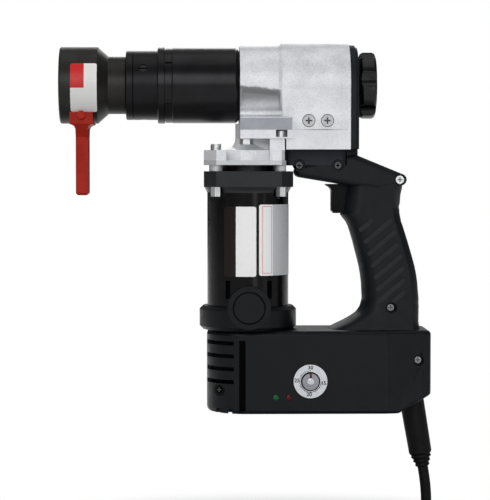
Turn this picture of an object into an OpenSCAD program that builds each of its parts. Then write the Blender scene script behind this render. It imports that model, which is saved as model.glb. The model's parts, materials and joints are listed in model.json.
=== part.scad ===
// Electric nutrunner with a reaction arm, a two-stage planetary barrel, a bevel gear case,
// an upright motor, a looped grip and a control box with a torque dial.
// Millimetres. +Z is up, -X is the nose, and the origin is the centre of the square drive's front face.

/* [Nose] */
// Radius of the reaction hub
hub_r = 32.3; // [30:0.1:36]
// Length of the hub's full-width part
hub_len = 32.3; // [28:0.1:40]
// Length of the hub's cone
cone_len = 8.5; // [6:0.1:12]
// Radius of the hub's neck
neck_r = 24.2; // [23.5:0.1:26]
// Length of the hub's neck
neck_len = 14.5; // [12:0.1:20]
// Radius of the space for the socket
hub_bore_r = 27; // [25:0.1:28.5]
// How far the drive's front face lies behind the hub's rim
drive_recess = 6; // [4:0.1:9]
// Width across the flats of the square drive
drive_size = 19; // [16:0.05:20]
// Length of the square drive
drive_len = 24; // [20:0.1:25]
// Radius of the hole for the socket's retaining pin
pin_hole_r = 2.5; // [2:0.1:3]
// Reach of the reaction arm below the output axis
arm_reach = 92.7; // [80:0.1:110]
// Thickness of the reaction arm along the output axis
arm_t = 10.2; // [8:0.1:13]
// Width of the reaction arm across the tool
arm_w = 30; // [26:0.5:34]
// Thickness of the reaction arm's root along the output axis
arm_root_t = 19.5; // [16:0.1:23]

/* [Barrel] */
// Radius of the front collar
collar_r = 29.2; // [28.2:0.1:31]
// Length of the front collar
collar_len = 26.6; // [25:0.1:32]
// Radius of the ring nut
nut_r = 32.3; // [31.5:0.1:35]
// Length of the ring nut
nut_len = 12; // [11:0.1:15]
// Radius of the gear barrel
barrel_r = 31.9; // [30.5:0.1:34]
// Length of the gear barrel
barrel_len = 55.6; // [55:0.1:62]
// Number of spanner notches in the ring nut
notch_count = 6; // [4:1:8]
// Radius of the spindle's journal
spindle_r = 14; // [13.7:0.1:15]

/* [Gears] */
// Wall of the gear barrel round the ring gear
barrel_wall = 3.45; // [3:0.05:4]
// Wall of the ring gear outside its teeth
ring_wall = 3.45; // [3:0.05:4]
// Teeth on each sun gear
sun_teeth = 12; // [12:6:12]
// Teeth on each planet gear
planet_teeth = 24; // [24:6:24]
// Width of the final planets
final_w = 16; // [13:0.1:16.5]
// Width of the first planets
first_w = 10; // [8:0.1:10.5]
// Module of the bevel gears
bevel_mod = 1.1; // [1:0.01:1.15]
// Teeth on the bevel pinion
pinion_teeth = 10; // [10:1:12]
// Teeth on the bevel gear
bevel_teeth = 40; // [36:1:42]
// Face width of the bevel gears
bevel_face = 7.5; // [6:0.1:8]

/* [Gear case] */
// Radius of the case's front boss
boss_r = 33.2; // [32.5:0.1:35]
// Length of the case's front boss
boss_len = 35; // [34:0.1:40]
// Radius of the case's arched top
case_r = 35.3; // [34.5:0.1:38]
// Length of the case's main body
case_len = 57; // [54:0.1:64]
// Drop from the output axis to the joint between the two castings
split_drop = 38; // [37:0.1:41]
// Height of the lower casting's rear block
block_h = 16.3; // [14:0.1:20]
// Thickness of the lower casting's front plate
plate_h = 7.3; // [6:0.1:8.5]
// Thickness of the rear cover
cover_t = 7.2; // [6:0.1:11]
// Radius of the selector knob
knob_r = 28; // [24:0.1:31]
// Thickness of the selector knob
knob_t = 13.4; // [10:0.1:18]

/* [Motor] */
// Distance from the case's front face back to the motor axis
motor_back = 7.2; // [6.5:0.1:9]
// Outer radius of the motor tube
motor_r = 34.4; // [33.5:0.1:36]
// Wall of the motor tube
motor_wall = 3.4; // [2.5:0.1:4]
// Length of the motor tube below its flange
tube_len = 100.4; // [98:0.1:115]
// Half the width of the motor flange
flange_half = 37.2; // [36.5:0.1:40]
// Thickness of the motor flange
flange_t = 13.1; // [12:0.1:16]
// Distance of the motor bolts from the motor axis, along X and along Y
bolt_half = 27.2; // [26.9:0.1:28]
// Radius of the brush end ring
bell_r = 41; // [39:0.1:44]
// Height of the brush end ring
bell_h = 20; // [19:0.1:24]
// Radius of the brush boss
brush_boss_r = 18; // [16:0.1:18]
// Radius of the brush cap
brush_cap_r = 12.8; // [10:0.1:14]

/* [Grip] */
// Half the width of the grip
grip_half = 19; // [17:0.1:22]
// Half the width of the arm over the grip
arm_half = 20; // [18.5:0.1:23]
// Height of the isolator block
isolator_h = 13.2; // [11:0.1:16]
// Travel of the trigger
trigger_travel = 6; // [4:0.1:7]
// Number of raised ribs on each side of the grip
rib_count = 8; // [5:1:10]
// Width of each rib
rib_w = 4; // [2.5:0.1:5]

/* [Control box] */
// Length of the control box from the motor axis back
box_back = 153.6; // [150:0.1:165]
// Radius of the box's round front, and half its width
box_half = 34.8; // [33.5:0.1:38]
// Height of the control box
box_h = 69.8; // [65:0.1:75]
// Wall of the mouldings
wall = 3; // [2.5:0.1:3.5]
// Rounding of the box's edges
box_edge = 4; // [2.5:0.1:6]
// Number of louvre slots on each side
louvre_count = 4; // [3:1:4]
// Height of each louvre slot
louvre_h = 3.4; // [2:0.1:5]
// Radius of the dial's scale plate
dial_r = 14.2; // [12:0.1:16]
// Radius of the dial knob
dial_knob_r = 7.1; // [5:0.1:8]
// Radius of the signal lamps
led_r = 2.5; // [1.5:0.1:3]

/* [Cord] */
// Radius of the cord
cord_r = 4.5; // [4:0.1:5]
// Radius of the cord guard at its root
guard_r = 10.3; // [9:0.1:12]
// Length of the cord guard outside the box
guard_len = 60; // [50:0.5:60]

/* [Hidden] */
$fn = 64;

// Clearances: shafts in bores, faces that turn past each other, and play beside a slide
run = 0.04;
gap = 0.3;

// Stations along the output axis
hub_x0 = -drive_recess;
hub_x1 = hub_x0 + hub_len;
web_x = hub_x1 - gap;
cone_x1 = hub_x1 + cone_len;
neck_x1 = cone_x1 + neck_len;
tail_len = 19;
tail_r = spindle_r + 7;
tail_x1 = neck_x1 + tail_len;
collar_x0 = neck_x1 + gap;
collar_x1 = collar_x0 + collar_len;
nut_x1 = collar_x1 + nut_len;
nut_lip = 3.8;
spigot_x0 = collar_x1 + nut_lip;
barrel_x1 = nut_x1 + barrel_len;
groove_w = 1.4;
spigot_len = 1.8;
case_x0 = barrel_x1 + groove_w;
body_x0 = case_x0 + boss_len;
case_x1 = body_x0 + case_len;
cover_x1 = case_x1 + cover_t;
knob_gap = 2.2;
knob_x0 = cover_x1 + knob_gap;
knob_x1 = knob_x0 + knob_t;
isolator_x0 = body_x0 + 4.3;
lock_x = (collar_x0 + collar_x1) / 2 + 1.6;
lock_screw_r = 3.6;
lock_angle = 28;

// Planetary train: ring teeth, centre distance and the planes of the two stages
ring_teeth = sun_teeth + 2 * planet_teeth;
gear_mod = (barrel_r - barrel_wall - ring_wall) / (ring_teeth / 2 + 1.25);
sun_pitch_r = gear_mod * sun_teeth / 2;
planet_pitch_r = gear_mod * planet_teeth / 2;
ring_pitch_r = gear_mod * ring_teeth / 2;
planet_orbit = sun_pitch_r + planet_pitch_r;
ring_root_r = ring_pitch_r + 1.25 * gear_mod;
ring_od_r = ring_root_r + ring_wall;
barrel_end_r = ring_od_r + 0.4 * barrel_wall;
pressure = 25;
backlash = 0.16;
planet_count = 3;
planet_step = 360 / planet_count;
carrier_r = planet_orbit + 7;
carrier_t = 4.5;
final_pin_r = 3.5;
first_pin_r = 3;
bearing_r = 21;
bearing_w = 10;
bearing_x0 = spigot_x0;
web_x1 = bearing_x0 + bearing_w + 1.5;
final_carrier_x0 = web_x1 + 0.5;
final_x0 = final_carrier_x0 + carrier_t + 2;
final_x1 = final_x0 + final_w;
first_carrier_x0 = final_x1 + 2;
first_x0 = first_carrier_x0 + carrier_t + 1;
first_x1 = first_x0 + first_w;
ring_x0 = final_x0 - 1;
ring_x1 = first_x1 + 2;
input_r = 4;
pilot_r = 2.4;
front_bearing_r = 11;
front_bearing_w = 7;
nose_x0 = ring_x1 + 0.6;
front_bearing_x0 = nose_x0 + 0.5;

// Bevel pair: the cones meet where the motor axis crosses the output axis
motor_x = case_x0 + motor_back;
pinion_pitch_r = bevel_mod * pinion_teeth / 2;
bevel_pitch_r = bevel_mod * bevel_teeth / 2;
cone_dist = sqrt(pow(pinion_pitch_r, 2) + pow(bevel_pitch_r, 2));
pinion_cone = atan(pinion_teeth / bevel_teeth);
bevel_cone = 90 - pinion_cone;
pinion_core_r = 2.9;
bevel_core_r = 8;
bevel_back_x = motor_x + pinion_pitch_r + 6;
rear_bearing_r = 14;
rear_bearing_w = 8;
rear_journal_r = 6;
rear_bearing_x0 = bevel_back_x + 4;
gear_room_r = bevel_pitch_r + 4.5;

// Levels down the motor axis
split_z = -split_drop;
plate_z0 = split_z - plate_h;
block_z0 = split_z - block_h;
lobe_t = 8.7;
lobe_z1 = block_z0 - 0.5;
lobe_z0 = lobe_z1 - lobe_t;
spacer_t = 3.8;
spacer_z0 = lobe_z0 - spacer_t;
standoff_h = 5.2;
standoff_r = 5.4;
flange_z1 = spacer_z0 - standoff_h;
flange_z0 = flange_z1 - flange_t;
tube_z0 = flange_z0 - tube_len;
bell_z0 = tube_z0 - bell_h;
box_z1 = bell_z0;
box_z0 = box_z1 - box_h;
tube_bore_r = motor_r - motor_wall;
neck_top_r = 10.6;
neck_foot_r = 22;
flange_chamfer = 10;
lobe_bite = 19;
bolt_r = 2.5;
bolt_head_r = 4.2;
bolt_head_h = 5;
nut_flats = 8;
nut_h = 8;
shaft_r = 4;
small_bearing_r = 11;
small_bearing_h = 7;
upper_bearing_z0 = lobe_z0;
lower_bearing_z0 = bell_z0 + 0.6;
brush_z = bell_z0 + 19.9;
brush_face = 44;
brush_bore_r = 6;
brush_end = 30;
brush_half_x = 3.2;
brush_half_z = 4;
brush_play = 0.15;
brush_spring_r = 3.4;
brush_spring_len = 5.4;
spring_wire_r = 0.4;
cap_depth = 3;
comm_r = 11;
core_r = 18;
stator_bore_r = core_r + 0.6;
yoke_t = 5;
pole_tip_t = 2.5;
winding_half = 7;
fan_z0 = flange_z0 - 1;
fan_h = 9;
core_z1 = flange_z0 - 22;
core_z0 = core_z1 - 48;

// Joint between the gear case, the isolator block and the grip
isolator_z1 = block_z0 - 0.1;
isolator_z0 = isolator_z1 - isolator_h;
isolator_x1 = case_x1 - 2.4;
clamp_xs = [isolator_x0 + 10.5, isolator_x1 - 7.2];
clamp_z = isolator_z0;
horn_x0 = isolator_x1 + gap;

// Control box
box_x1 = motor_x + box_back;
box_x0 = motor_x - box_half;
taper_x = box_x1 - 39;
rear_half = box_half - 8;
chamfer_x = box_x1 - 28.8;
chamfer_z = box_z0 + 13.8;
box_screws_at = [[motor_x - 24.8, box_z0 + 19.6], [box_x1 - 11, box_z1 - 25.2]];
box_screw_y = [-19, -21];
dial_x = motor_x + 51.4;
dial_z = box_z0 + 27.9;
led_z = dial_z - 13.6;
led_xs = [dial_x - 28.9, dial_x - 18];
board_y = -20;
board_t = 1.6;
groove_x = motor_x - 5.5;

// Grip: height share, then front and back offsets from the line between the case's end and the box's end
grip_z1 = isolator_z0 - 12.4;
grip_rows = [
    [0, -2.2, 46.3, 0],
    [0.154, -14.5, 33.8, 0],
    [0.205, -18.6, 30, 0],
    [0.23, -22.4, 28.5, 0],
    [0.278, -21, 26.4, 0],
    [0.347, -22.3, 24.6, 0],
    [0.471, -26.5, 20.8, 0.3],
    [0.58, -30.5, 17.2, 0.4],
    [0.689, -36, 12.1, 0.6],
    [0.797, -42.7, 5.8, 1.2],
    [0.851, -48.2, 2.2, 1.9],
    [0.894, -55.1, -0.9, 2.7],
    [0.929, -64.3, -3.4, 3.6],
    [0.96, -74.2, -5.5, 4.5],
    [1, -86, -7.2, 5.5]];
grip_levels = [1, 0.98, 0.96, 0.945, 0.929, 0.912, 0.894, 0.873, 0.851, 0.825, 0.797, 0.745, 0.689, 0.635,
    0.58, 0.525, 0.471, 0.41, 0.347, 0.31, 0.278, 0.254, 0.23, 0.217, 0.205, 0.18, 0.154, 0.1, 0.05, 0];
grip_crease = 7;
grip_nose = 15;
arm_round = 5;
beak_x = case_x1 + 43.8;
beak_z = isolator_z0 - 12;
trigger_z = isolator_z0 - 28;
trigger_x0 = horn_x0 - 12;
trigger_h = 24.6;
trigger_half = 8.3;
switch_x0 = trigger_x0 + 23.4;
switch_len = 29;
switch_h = 26;
switch_half = 10.5;
plunger_r = 2.5;
foot_screw_back = 33.3;
foot_screw_up = 18.5;
handle_screws_at = [[beak_x - 1, beak_z], [box_x1 - foot_screw_back, box_z1 + foot_screw_up]];
handle_screw_y = [3.5 - grip_half, 6 - grip_half];
shell_screw_hole_r = 4.7;
shell_screw_rs = [3.5, 2.8];

// Cord: the guard's axis, the route of the free lead, the coil on the floor and the tail to the plug
guard_x = box_x1 - 14;
guard_z = box_z0 + 10.7;
guard_lean = 9.6;
guard_dir = [sin(guard_lean), 0, -cos(guard_lean)];
guard_tip = [guard_x, 0, guard_z] + guard_len * guard_dir;
floor_z = -400;
coil_x = 238;
coil_y = 44;
coil_in_r = 34;
coil_out_r = 70;
coil_mid_r = (coil_in_r + coil_out_r) / 2;
coil_h = 18;
lead_route = [[302.57, 0, -327.61], [303.8, 0, -336], [304.7, 0, -345], [305.1, 0, -354], [305.1, 1.5, -364],
    [304.8, 6, -374], [304.2, 13, -383], [303.5, 24, -391.5]];
tail_route = [[262, -21.4, -390], [268, -21.2, -391], [276, -21, -391.5], [284, -21, -391.5]];
plug_x = 284;
plug_y = -21;
plug_z = -391.5;

// One-dimensional blends used by the lofts
function mix(a, b, t) = a + (b - a) * t;
function spline(p0, p1, p2, p3, t) = 0.5 * (2 * p1 + (p2 - p0) * t + (2 * p0 - 5 * p1 + 4 * p2 - p3) * t * t
    + (3 * p1 - p0 - 3 * p2 + p3) * t * t * t);
function row_at(rows, t, i = 0) = i >= len(rows) - 2 || rows[i + 1][0] > t ? i : row_at(rows, t, i + 1);
function row_value(rows, col, t) =
    let (i = row_at(rows, t), last = len(rows) - 1, s = (t - rows[i][0]) / (rows[i + 1][0] - rows[i][0]))
    spline(rows[max(i - 1, 0)][col], rows[i][col], rows[i + 1][col], rows[min(i + 2, last)][col], s);
function unit(v) = v / norm(v);

// Triangles that close a stack of rings, with flat fans on both ends or the last ring joined to the first
function quad_strip(a, b, n) = [for (j = [0 : n - 1]) let (k = (j + 1) % n)
    each [[a + j, b + k, a + k], [a + j, b + j, b + k]]];
function stack_faces(rings, n) = concat(
    [[for (j = [0 : n - 1]) j]],
    [for (i = [0 : rings - 2]) each quad_strip(i * n, (i + 1) * n, n)],
    [[for (j = [n - 1 : -1 : 0]) (rings - 1) * n + j]]);
function loop_faces(rings, n) = [for (i = [0 : rings - 1]) each quad_strip(i * n, ((i + 1) % rings) * n, n)];

// Rings of a round tube swept along a path, kept upright about one side axis
function path_dir(path, i) = unit(path[min(i + 1, len(path) - 1)] - path[max(i - 1, 0)]);
function tube_points(path, r, sides, side_axis) = [for (i = [0 : len(path) - 1])
    let (d = path_dir(path, i), u = unit(cross(side_axis, d)), v = cross(d, u))
    each [for (j = [0 : sides - 1]) path[i] + r * (cos(360 * j / sides) * u + sin(360 * j / sides) * v)]];

module swept_tube(path, r, sides, side_axis) {
    polyhedron(tube_points(path, r, sides, side_axis), stack_faces(len(path), sides), convexity = 6);
}

// Straight round bars along each axis, and solids turned about the output axis from [x, r] points
module rod_x(x0, x1, r) { translate([x0, 0, 0]) rotate([0, 90, 0]) cylinder(h = x1 - x0, r = r); }
module rod_y(x, z, y0, y1, r) { translate([x, y1, z]) rotate([90, 0, 0]) cylinder(h = y1 - y0, r = r); }
module rod_z(x, y, z0, z1, r) { translate([x, y, z0]) cylinder(h = z1 - z0, r = r); }
module tube_x(x0, x1, r_out, r_in) {
    difference() {
        rod_x(x0, x1, r_out);
        rod_x(x0 - 1, x1 + 1, r_in);
    }
}
module turned_x(points) { rotate([0, 90, 0]) rotate_extrude() polygon([for (p = points) [p[1], p[0]]]); }
module turned_z(x, points) { translate([x, 0, 0]) rotate_extrude() polygon(points); }
module box_between(a, b) { translate(a) cube(b - a); }
module along_y(y0, y1) {
    translate([0, y1, 0]) rotate([90, 0, 0]) linear_extrude(height = y1 - y0) children();
}
module along_x(x0, x1) {
    translate([x0, 0, 0]) rotate([90, 0, 90]) linear_extrude(height = x1 - x0) children();
}
module both_sides() {
    children();
    mirror([0, 1, 0]) children();
}
module rounded_rect(w, h, r) {
    square([w - 2 * r, h], center = true);
    square([w, h - 2 * r], center = true);
    for (sx = [-1, 1], sy = [-1, 1]) translate([sx * (w / 2 - r), sy * (h / 2 - r)]) circle(r);
}
function chamfered_square(h, c) = [[h, h - c], [h - c, h], [c - h, h], [-h, h - c], [-h, c - h], [c - h, -h],
    [h - c, -h], [h, c - h]];
function bolt_places(h) = [for (sx = [-1, 1], sy = [-1, 1]) [sx * h, sy * h]];

// Involute gears: half the tooth angle at a radius, and the outline of a whole wheel
function involute(a) = tan(a) - a * PI / 180;
function tooth_half(r, pitch_r, teeth, slack) =
    let (base_r = pitch_r * cos(pressure), a = acos(min(1, base_r / max(r, base_r))))
    90 / teeth - slack / (2 * pitch_r) * 180 / PI + (involute(pressure) - involute(a)) * 180 / PI;
function gear_outline(pitch_r, teeth, root_r, tip_r, slack, phase, steps = 3) = [for (i = [0 : teeth - 1])
    let (c = 360 * i / teeth + phase)
    each concat(
        [for (s = [0 : steps])
            let (r = mix(root_r, tip_r, s / steps), a = c - tooth_half(r, pitch_r, teeth, slack))
            r * [cos(a), sin(a)]],
        [for (s = [steps : -1 : 0])
            let (r = mix(root_r, tip_r, s / steps), a = c + tooth_half(r, pitch_r, teeth, slack))
            r * [cos(a), sin(a)]])];
module spur_outline(teeth, phase) {
    pitch_r = gear_mod * teeth / 2;
    root_r = pitch_r - 1.25 * gear_mod;
    polygon(gear_outline(pitch_r, teeth, root_r, pitch_r + 0.95 * gear_mod, backlash, phase));
}
function planet_phase(angle) = angle + 180 + 180 / planet_teeth + angle * sun_teeth / planet_teeth;

// Straight bevel wheel about +Z with its cone's point at the origin and its teeth below it
function bevel_ring(pitch_r, teeth, cone, dist, slack, phase, steps = 3) =
    let (virtual_r = pitch_r / cos(cone), share = dist / cone_dist)
    [for (i = [0 : teeth - 1]) let (c = 360 * i / teeth + phase)
        each [for (s = [-steps : steps])
            let (rise = mix(-1.2, 0.95, 1 - abs(s) / steps) * bevel_mod,
                half = tooth_half(virtual_r + rise, virtual_r, teeth / cos(cone), slack) / cos(cone),
                a = c + (s == 0 ? 0 : sign(s) * half),
                r = share * (cone_dist * sin(cone) + rise * cos(cone)),
                z = -share * (cone_dist * cos(cone) - rise * sin(cone)))
            [r * cos(a), r * sin(a), z]]];
function core_ring(teeth, r, z, phase, steps = 3) = [for (i = [0 : teeth - 1], s = [-steps : steps])
    let (a = 360 / teeth * (i + s / (2 * steps + 1)) + phase) [r * cos(a), r * sin(a), z]];
module bevel_wheel(pitch_r, teeth, cone, core_r, back_z, front_z, phase) {
    n = teeth * 7;
    polyhedron(concat(
        bevel_ring(pitch_r, teeth, cone, cone_dist, backlash, phase),
        bevel_ring(pitch_r, teeth, cone, cone_dist - bevel_face, backlash, phase),
        core_ring(teeth, core_r, front_z, phase),
        core_ring(teeth, core_r, back_z, phase),
        core_ring(teeth, pitch_r * 0.86, back_z, phase)),
        loop_faces(5, n), convexity = 10);
}

// Ball bearing drawn as one grooved ring, about X or about Z
module bearing_x(x0, w, r_out, r_in) {
    mid = (r_out + r_in) / 2;
    x1 = x0 + w;
    groove = 0.6;
    turned_x([[x0, r_in], [x0, mid - 1.2], [x0 + groove, mid - 1], [x0 + groove, mid + 1], [x0, mid + 1.2],
        [x0, r_out], [x1, r_out], [x1, mid + 1.2], [x1 - groove, mid + 1], [x1 - groove, mid - 1],
        [x1, mid - 1.2], [x1, r_in]]);
}
module bearing_z(x, z0, h, r_out, r_in) {
    translate([x, 0, z0]) rotate([0, -90, 0]) bearing_x(0, h, r_out, r_in);
}

// Nose: the reaction hub turns on its tail in the front collar and carries the reaction arm
module reaction_ring() {
    color("#3a3b3d") difference() {
        turned_x([[hub_x0, hub_bore_r], [hub_x0, hub_r - 1], [hub_x0 + 1, hub_r], [web_x, hub_r],
            [web_x, hub_bore_r]]);
        both_sides() arm_bolt_solid(0);
    }
}
module reaction_hub() {
    color("#3a3b3d") turned_x([[web_x, spindle_r + gap], [web_x, hub_r], [hub_x1 - 0.6, hub_r],
        [hub_x1, hub_r - 0.6], [cone_x1, neck_r], [neck_x1, neck_r], [neck_x1, tail_r], [tail_x1, tail_r],
        [tail_x1, spindle_r + gap]]);
}

arm_x = (hub_x0 + hub_x1) / 2 + 2.5;
arm_root_z = -0.71 * hub_r;
arm_neck_z = -hub_r - 5.5;
arm_cheek = 24;
arm_bolt_z = -0.79 * hub_r;
module arm_front_outline() {
    root = arm_root_t / 2;
    bar = arm_t / 2;
    fillet = root - bar;
    difference() {
        translate([-root, -arm_reach]) square([2 * root, arm_reach + arm_root_z]);
        for (s = [-1, 1]) {
            translate([s * root, arm_neck_z]) circle(fillet);
            translate([s > 0 ? bar : -root - 1, -arm_reach - 1])
                square([fillet + 1, arm_reach + 1 + arm_neck_z]);
        }
        for (s = [-1, 1]) translate([s * bar, -arm_reach]) rotate(45) square(2.4, center = true);
    }
}
module arm_side_outline() {
    half = arm_w / 2;
    polygon([[-arm_cheek, arm_root_z], [arm_cheek, arm_root_z], [arm_cheek, arm_neck_z + 5],
        [half, arm_neck_z - 6], [half, 2 - arm_reach], [half - 2, -arm_reach], [2 - half, -arm_reach],
        [-half, 2 - arm_reach], [-half, arm_neck_z - 6], [-arm_cheek, arm_neck_z + 5]]);
}
module arm_bolt_solid(head) {
    rod_y(arm_x, arm_bolt_z, -arm_cheek, -arm_cheek + 8, 2.5);
    if (head > 0) rod_y(arm_x, arm_bolt_z, -arm_cheek - head, -arm_cheek, 3.6);
}
module reaction_arm() {
    color("#a82a24") difference() {
        intersection() {
            translate([arm_x, 0, 0]) along_y(-arm_cheek, arm_cheek) arm_front_outline();
            along_x(arm_x - arm_root_t, arm_x + arm_root_t) arm_side_outline();
        }
        rod_x(hub_x0 - 5, hub_x1 + 5, hub_r);
        both_sides() arm_bolt_solid(0);
    }
}
module arm_bolts() {
    color("#9c2822") both_sides() arm_bolt_solid(2.6);
}
module lock_screws() {
    color("#55575a") for (i = [0 : 2]) rotate([-lock_angle + 120 * i, 0, 0]) difference() {
        rod_y(lock_x, 0, -collar_r + 0.9, -tail_r - 0.6, lock_screw_r);
        box_between([lock_x - 5, -collar_r, -0.6], [lock_x + 5, -collar_r + 2.4, 0.6]);
    }
}

// Barrel: collar, ring nut and gear barrel in one line, with the planetary train inside
module front_collar() {
    line_x = collar_x0 + 6.2;
    color("#343537") difference() {
        turned_x([[collar_x0, tail_r + run], [collar_x0, collar_r - 0.8], [collar_x0 + 0.8, collar_r],
            [line_x - 0.4, collar_r], [line_x, collar_r - 0.5], [line_x + 0.4, collar_r],
            [collar_x1, collar_r], [collar_x1, collar_r - 0.4], [spigot_x0, collar_r - 0.4],
            [spigot_x0, bearing_r - 3], [tail_x1 + gap, bearing_r - 3], [tail_x1 + gap, tail_r + run]]);
        for (i = [0 : 2]) rotate([-lock_angle + 120 * i, 0, 0])
            rod_y(lock_x, 0, -collar_r - 2, -tail_r + 1, lock_screw_r);
    }
}
module ring_nut() {
    lip_r = collar_r - 0.4 + run;
    thread_r = barrel_r - 3.9 + run;
    step_x = collar_x1 + nut_len / 2;
    color("#2f3032") difference() {
        turned_x([[collar_x1, lip_r], [collar_x1, nut_r - 0.8], [collar_x1 + 0.8, nut_r],
            [step_x - 0.3, nut_r], [step_x, nut_r - 1.4], [step_x + 0.5, nut_r - 1.4],
            [step_x + 0.5, nut_r - 0.8], [nut_x1, nut_r - 0.8], [nut_x1, thread_r],
            [spigot_x0, thread_r], [spigot_x0, lip_r]]);
        for (i = [0 : notch_count - 1]) rotate([lock_angle + 360 / notch_count * i, 0, 0])
            box_between([step_x + 0.5, -nut_r - 1, -2.2], [nut_x1 + 1, -nut_r + 2, 2.2]);
    }
}
module gear_barrel() {
    color("#3a3b3d") turned_x([[spigot_x0, bearing_r], [spigot_x0, barrel_r - 3.9], [nut_x1, barrel_r - 3.9],
        [nut_x1, barrel_r - 0.7], [nut_x1 + 0.7, barrel_r], [barrel_x1 - 2.2, barrel_r],
        [barrel_x1, barrel_end_r + 0.17 * barrel_wall], [barrel_x1, barrel_end_r],
        [case_x0 + spigot_len, barrel_end_r], [case_x0 + spigot_len, ring_od_r],
        [web_x1, ring_od_r], [web_x1, bearing_r - 2.5], [bearing_x0 + bearing_w, bearing_r - 2.5],
        [bearing_x0 + bearing_w, bearing_r]]);
}
module ring_gear() {
    color("#6f7275") translate([ring_x0, 0, 0]) rotate([0, 90, 0]) linear_extrude(height = ring_x1 - ring_x0)
        difference() {
            circle(ring_od_r);
            polygon(gear_outline(ring_pitch_r, ring_teeth, ring_pitch_r - 0.9 * gear_mod,
                ring_pitch_r + 1.2 * gear_mod, -backlash, planet_teeth % 2 == 0 ? 180 / ring_teeth : 0));
        }
}
module planet(x0, w, pin_r, i) {
    rotate([planet_step * i, 0, 0]) translate([x0, 0, -planet_orbit]) rotate([0, 90, 0])
        linear_extrude(height = w) difference() {
            spur_outline(planet_teeth, planet_phase(planet_step * i) - planet_step * i);
            circle(pin_r + run);
        }
}
module carrier_pins(x0, x1, r) {
    for (i = [0 : planet_count - 1])
        rotate([planet_step * i, 0, 0]) translate([0, 0, -planet_orbit]) rod_x(x0, x1, r);
}
module sun(x0, x1) {
    translate([x0, 0, 0]) rotate([0, 90, 0]) linear_extrude(height = x1 - x0) spur_outline(sun_teeth, 0);
}
module output_spindle() {
    half = drive_size / 2;
    color("#8b8e91") difference() {
        union() {
            intersection() {
                box_between([0, -half, -half], [drive_len + 1, half, half]);
                turned_x([[0, 0], [0, 1.24 * half], [2, 1.38 * half], [drive_len + 1, 1.38 * half],
                    [drive_len + 1, 0]]);
            }
            turned_x([[drive_len, 0], [drive_len, spindle_r - 1], [drive_len + 1, spindle_r],
                [final_carrier_x0 - 1.6, spindle_r], [final_carrier_x0 - 1.6, spindle_r + 2],
                [final_carrier_x0, spindle_r + 2], [final_carrier_x0, carrier_r],
                [final_carrier_x0 + carrier_t, carrier_r], [final_carrier_x0 + carrier_t, 0]]);
            carrier_pins(final_carrier_x0 + 1, final_x1 + 0.8, final_pin_r);
        }
        rod_x(final_carrier_x0 - 6, final_carrier_x0 + carrier_t + 1, pilot_r + run);
        rod_z(drive_len / 2, 0, -drive_size, drive_size, pin_hole_r);
    }
}
module final_planet_1() { color("#7b7e82") planet(final_x0, final_w, final_pin_r, 0); }
module final_planet_2() { color("#7b7e82") planet(final_x0, final_w, final_pin_r, 1); }
module final_planet_3() { color("#7b7e82") planet(final_x0, final_w, final_pin_r, 2); }
module first_carrier() {
    color("#85888c") difference() {
        union() {
            rod_x(final_carrier_x0 - 5, first_carrier_x0 + 0.5, pilot_r);
            sun(final_x0 - 0.8, first_carrier_x0 + 0.5);
            rod_x(first_carrier_x0, first_carrier_x0 + carrier_t, carrier_r);
            carrier_pins(first_carrier_x0 + 1, first_x1 + 0.8, first_pin_r);
        }
        rod_x(first_carrier_x0 + carrier_t - 5, first_carrier_x0 + carrier_t + 1, pilot_r + run);
    }
}
module first_planet_1() { color("#7b7e82") planet(first_x0, first_w, first_pin_r, 0); }
module first_planet_2() { color("#7b7e82") planet(first_x0, first_w, first_pin_r, 1); }
module first_planet_3() { color("#7b7e82") planet(first_x0, first_w, first_pin_r, 2); }
module input_shaft() {
    color("#909397") union() {
        rod_x(first_carrier_x0 + carrier_t - 4, first_x0, pilot_r);
        sun(first_x0 - 0.4, first_x1 + 1.2);
        rod_x(first_x1 + 1, bevel_back_x - 5, input_r);
        rod_x(bevel_back_x - 5.5, bevel_back_x, bevel_core_r - 0.1);
        rod_x(bevel_back_x, bevel_back_x + 3, bevel_core_r + 3);
        rod_x(bevel_back_x + 2.5, rear_bearing_x0 + rear_bearing_w, rear_journal_r);
    }
}
module bevel_gear() {
    color("#7f8286") translate([motor_x, 0, 0]) rotate([0, -90, 0])
        bevel_wheel(bevel_pitch_r, bevel_teeth, bevel_cone, bevel_core_r, motor_x - bevel_back_x,
            motor_x - bevel_back_x + 5, 180 / bevel_teeth);
}
module gear_bearings() {
    color("#b4b7ba") {
        bearing_x(bearing_x0, bearing_w, bearing_r, spindle_r + run);
        bearing_x(front_bearing_x0, front_bearing_w, front_bearing_r, input_r + run);
        bearing_x(rear_bearing_x0, rear_bearing_w, rear_bearing_r, rear_journal_r + run);
    }
}

// Gear case: an arched casting over a lower casting that carries the bevel pinion down to the motor
case_side = case_r - 0.3;
pad_y = case_side + 1.4;
pad_h = 11;
pad_round = 1.2;
pad_top = split_z + pad_h;
pad_x1 = body_x0 + 8;
bead_r = 2.8;
bead_y = case_side - bead_r - 0.6;
bead_z = pad_top + bead_r - 0.4;
case_bolt_y = 8 - case_side;
case_bolt_r = 3;
screw_head_r = 5;
screw_shank_r = 2.4;
screw_head_h = 2.8;
case_screw_z = split_z + 7.6;
case_screw_xs = [body_x0 + 22, body_x0 + 37.5];
case_bolt_x = case_x0 + 5.2;
notch_x0 = motor_x + bolt_half - 4.8;
notch_depth = 6;
column_x0 = motor_x + 17.4;
column_x1 = motor_x + 29.8;
column_y = case_side - 1;
column_in = 15;
module arch(r, half, drop) {
    circle(r);
    translate([-half, -drop]) square([2 * half, drop]);
}
module case_screw_solid() {
    for (x = case_screw_xs) {
        translate([x, -case_side, case_screw_z]) rotate([-90, 0, 0])
            cylinder(h = screw_head_h, r1 = screw_head_r, r2 = screw_shank_r);
        rod_y(x, case_screw_z, screw_head_h - case_side - 0.3, 5 * screw_head_h - case_side, screw_shank_r);
    }
}
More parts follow.
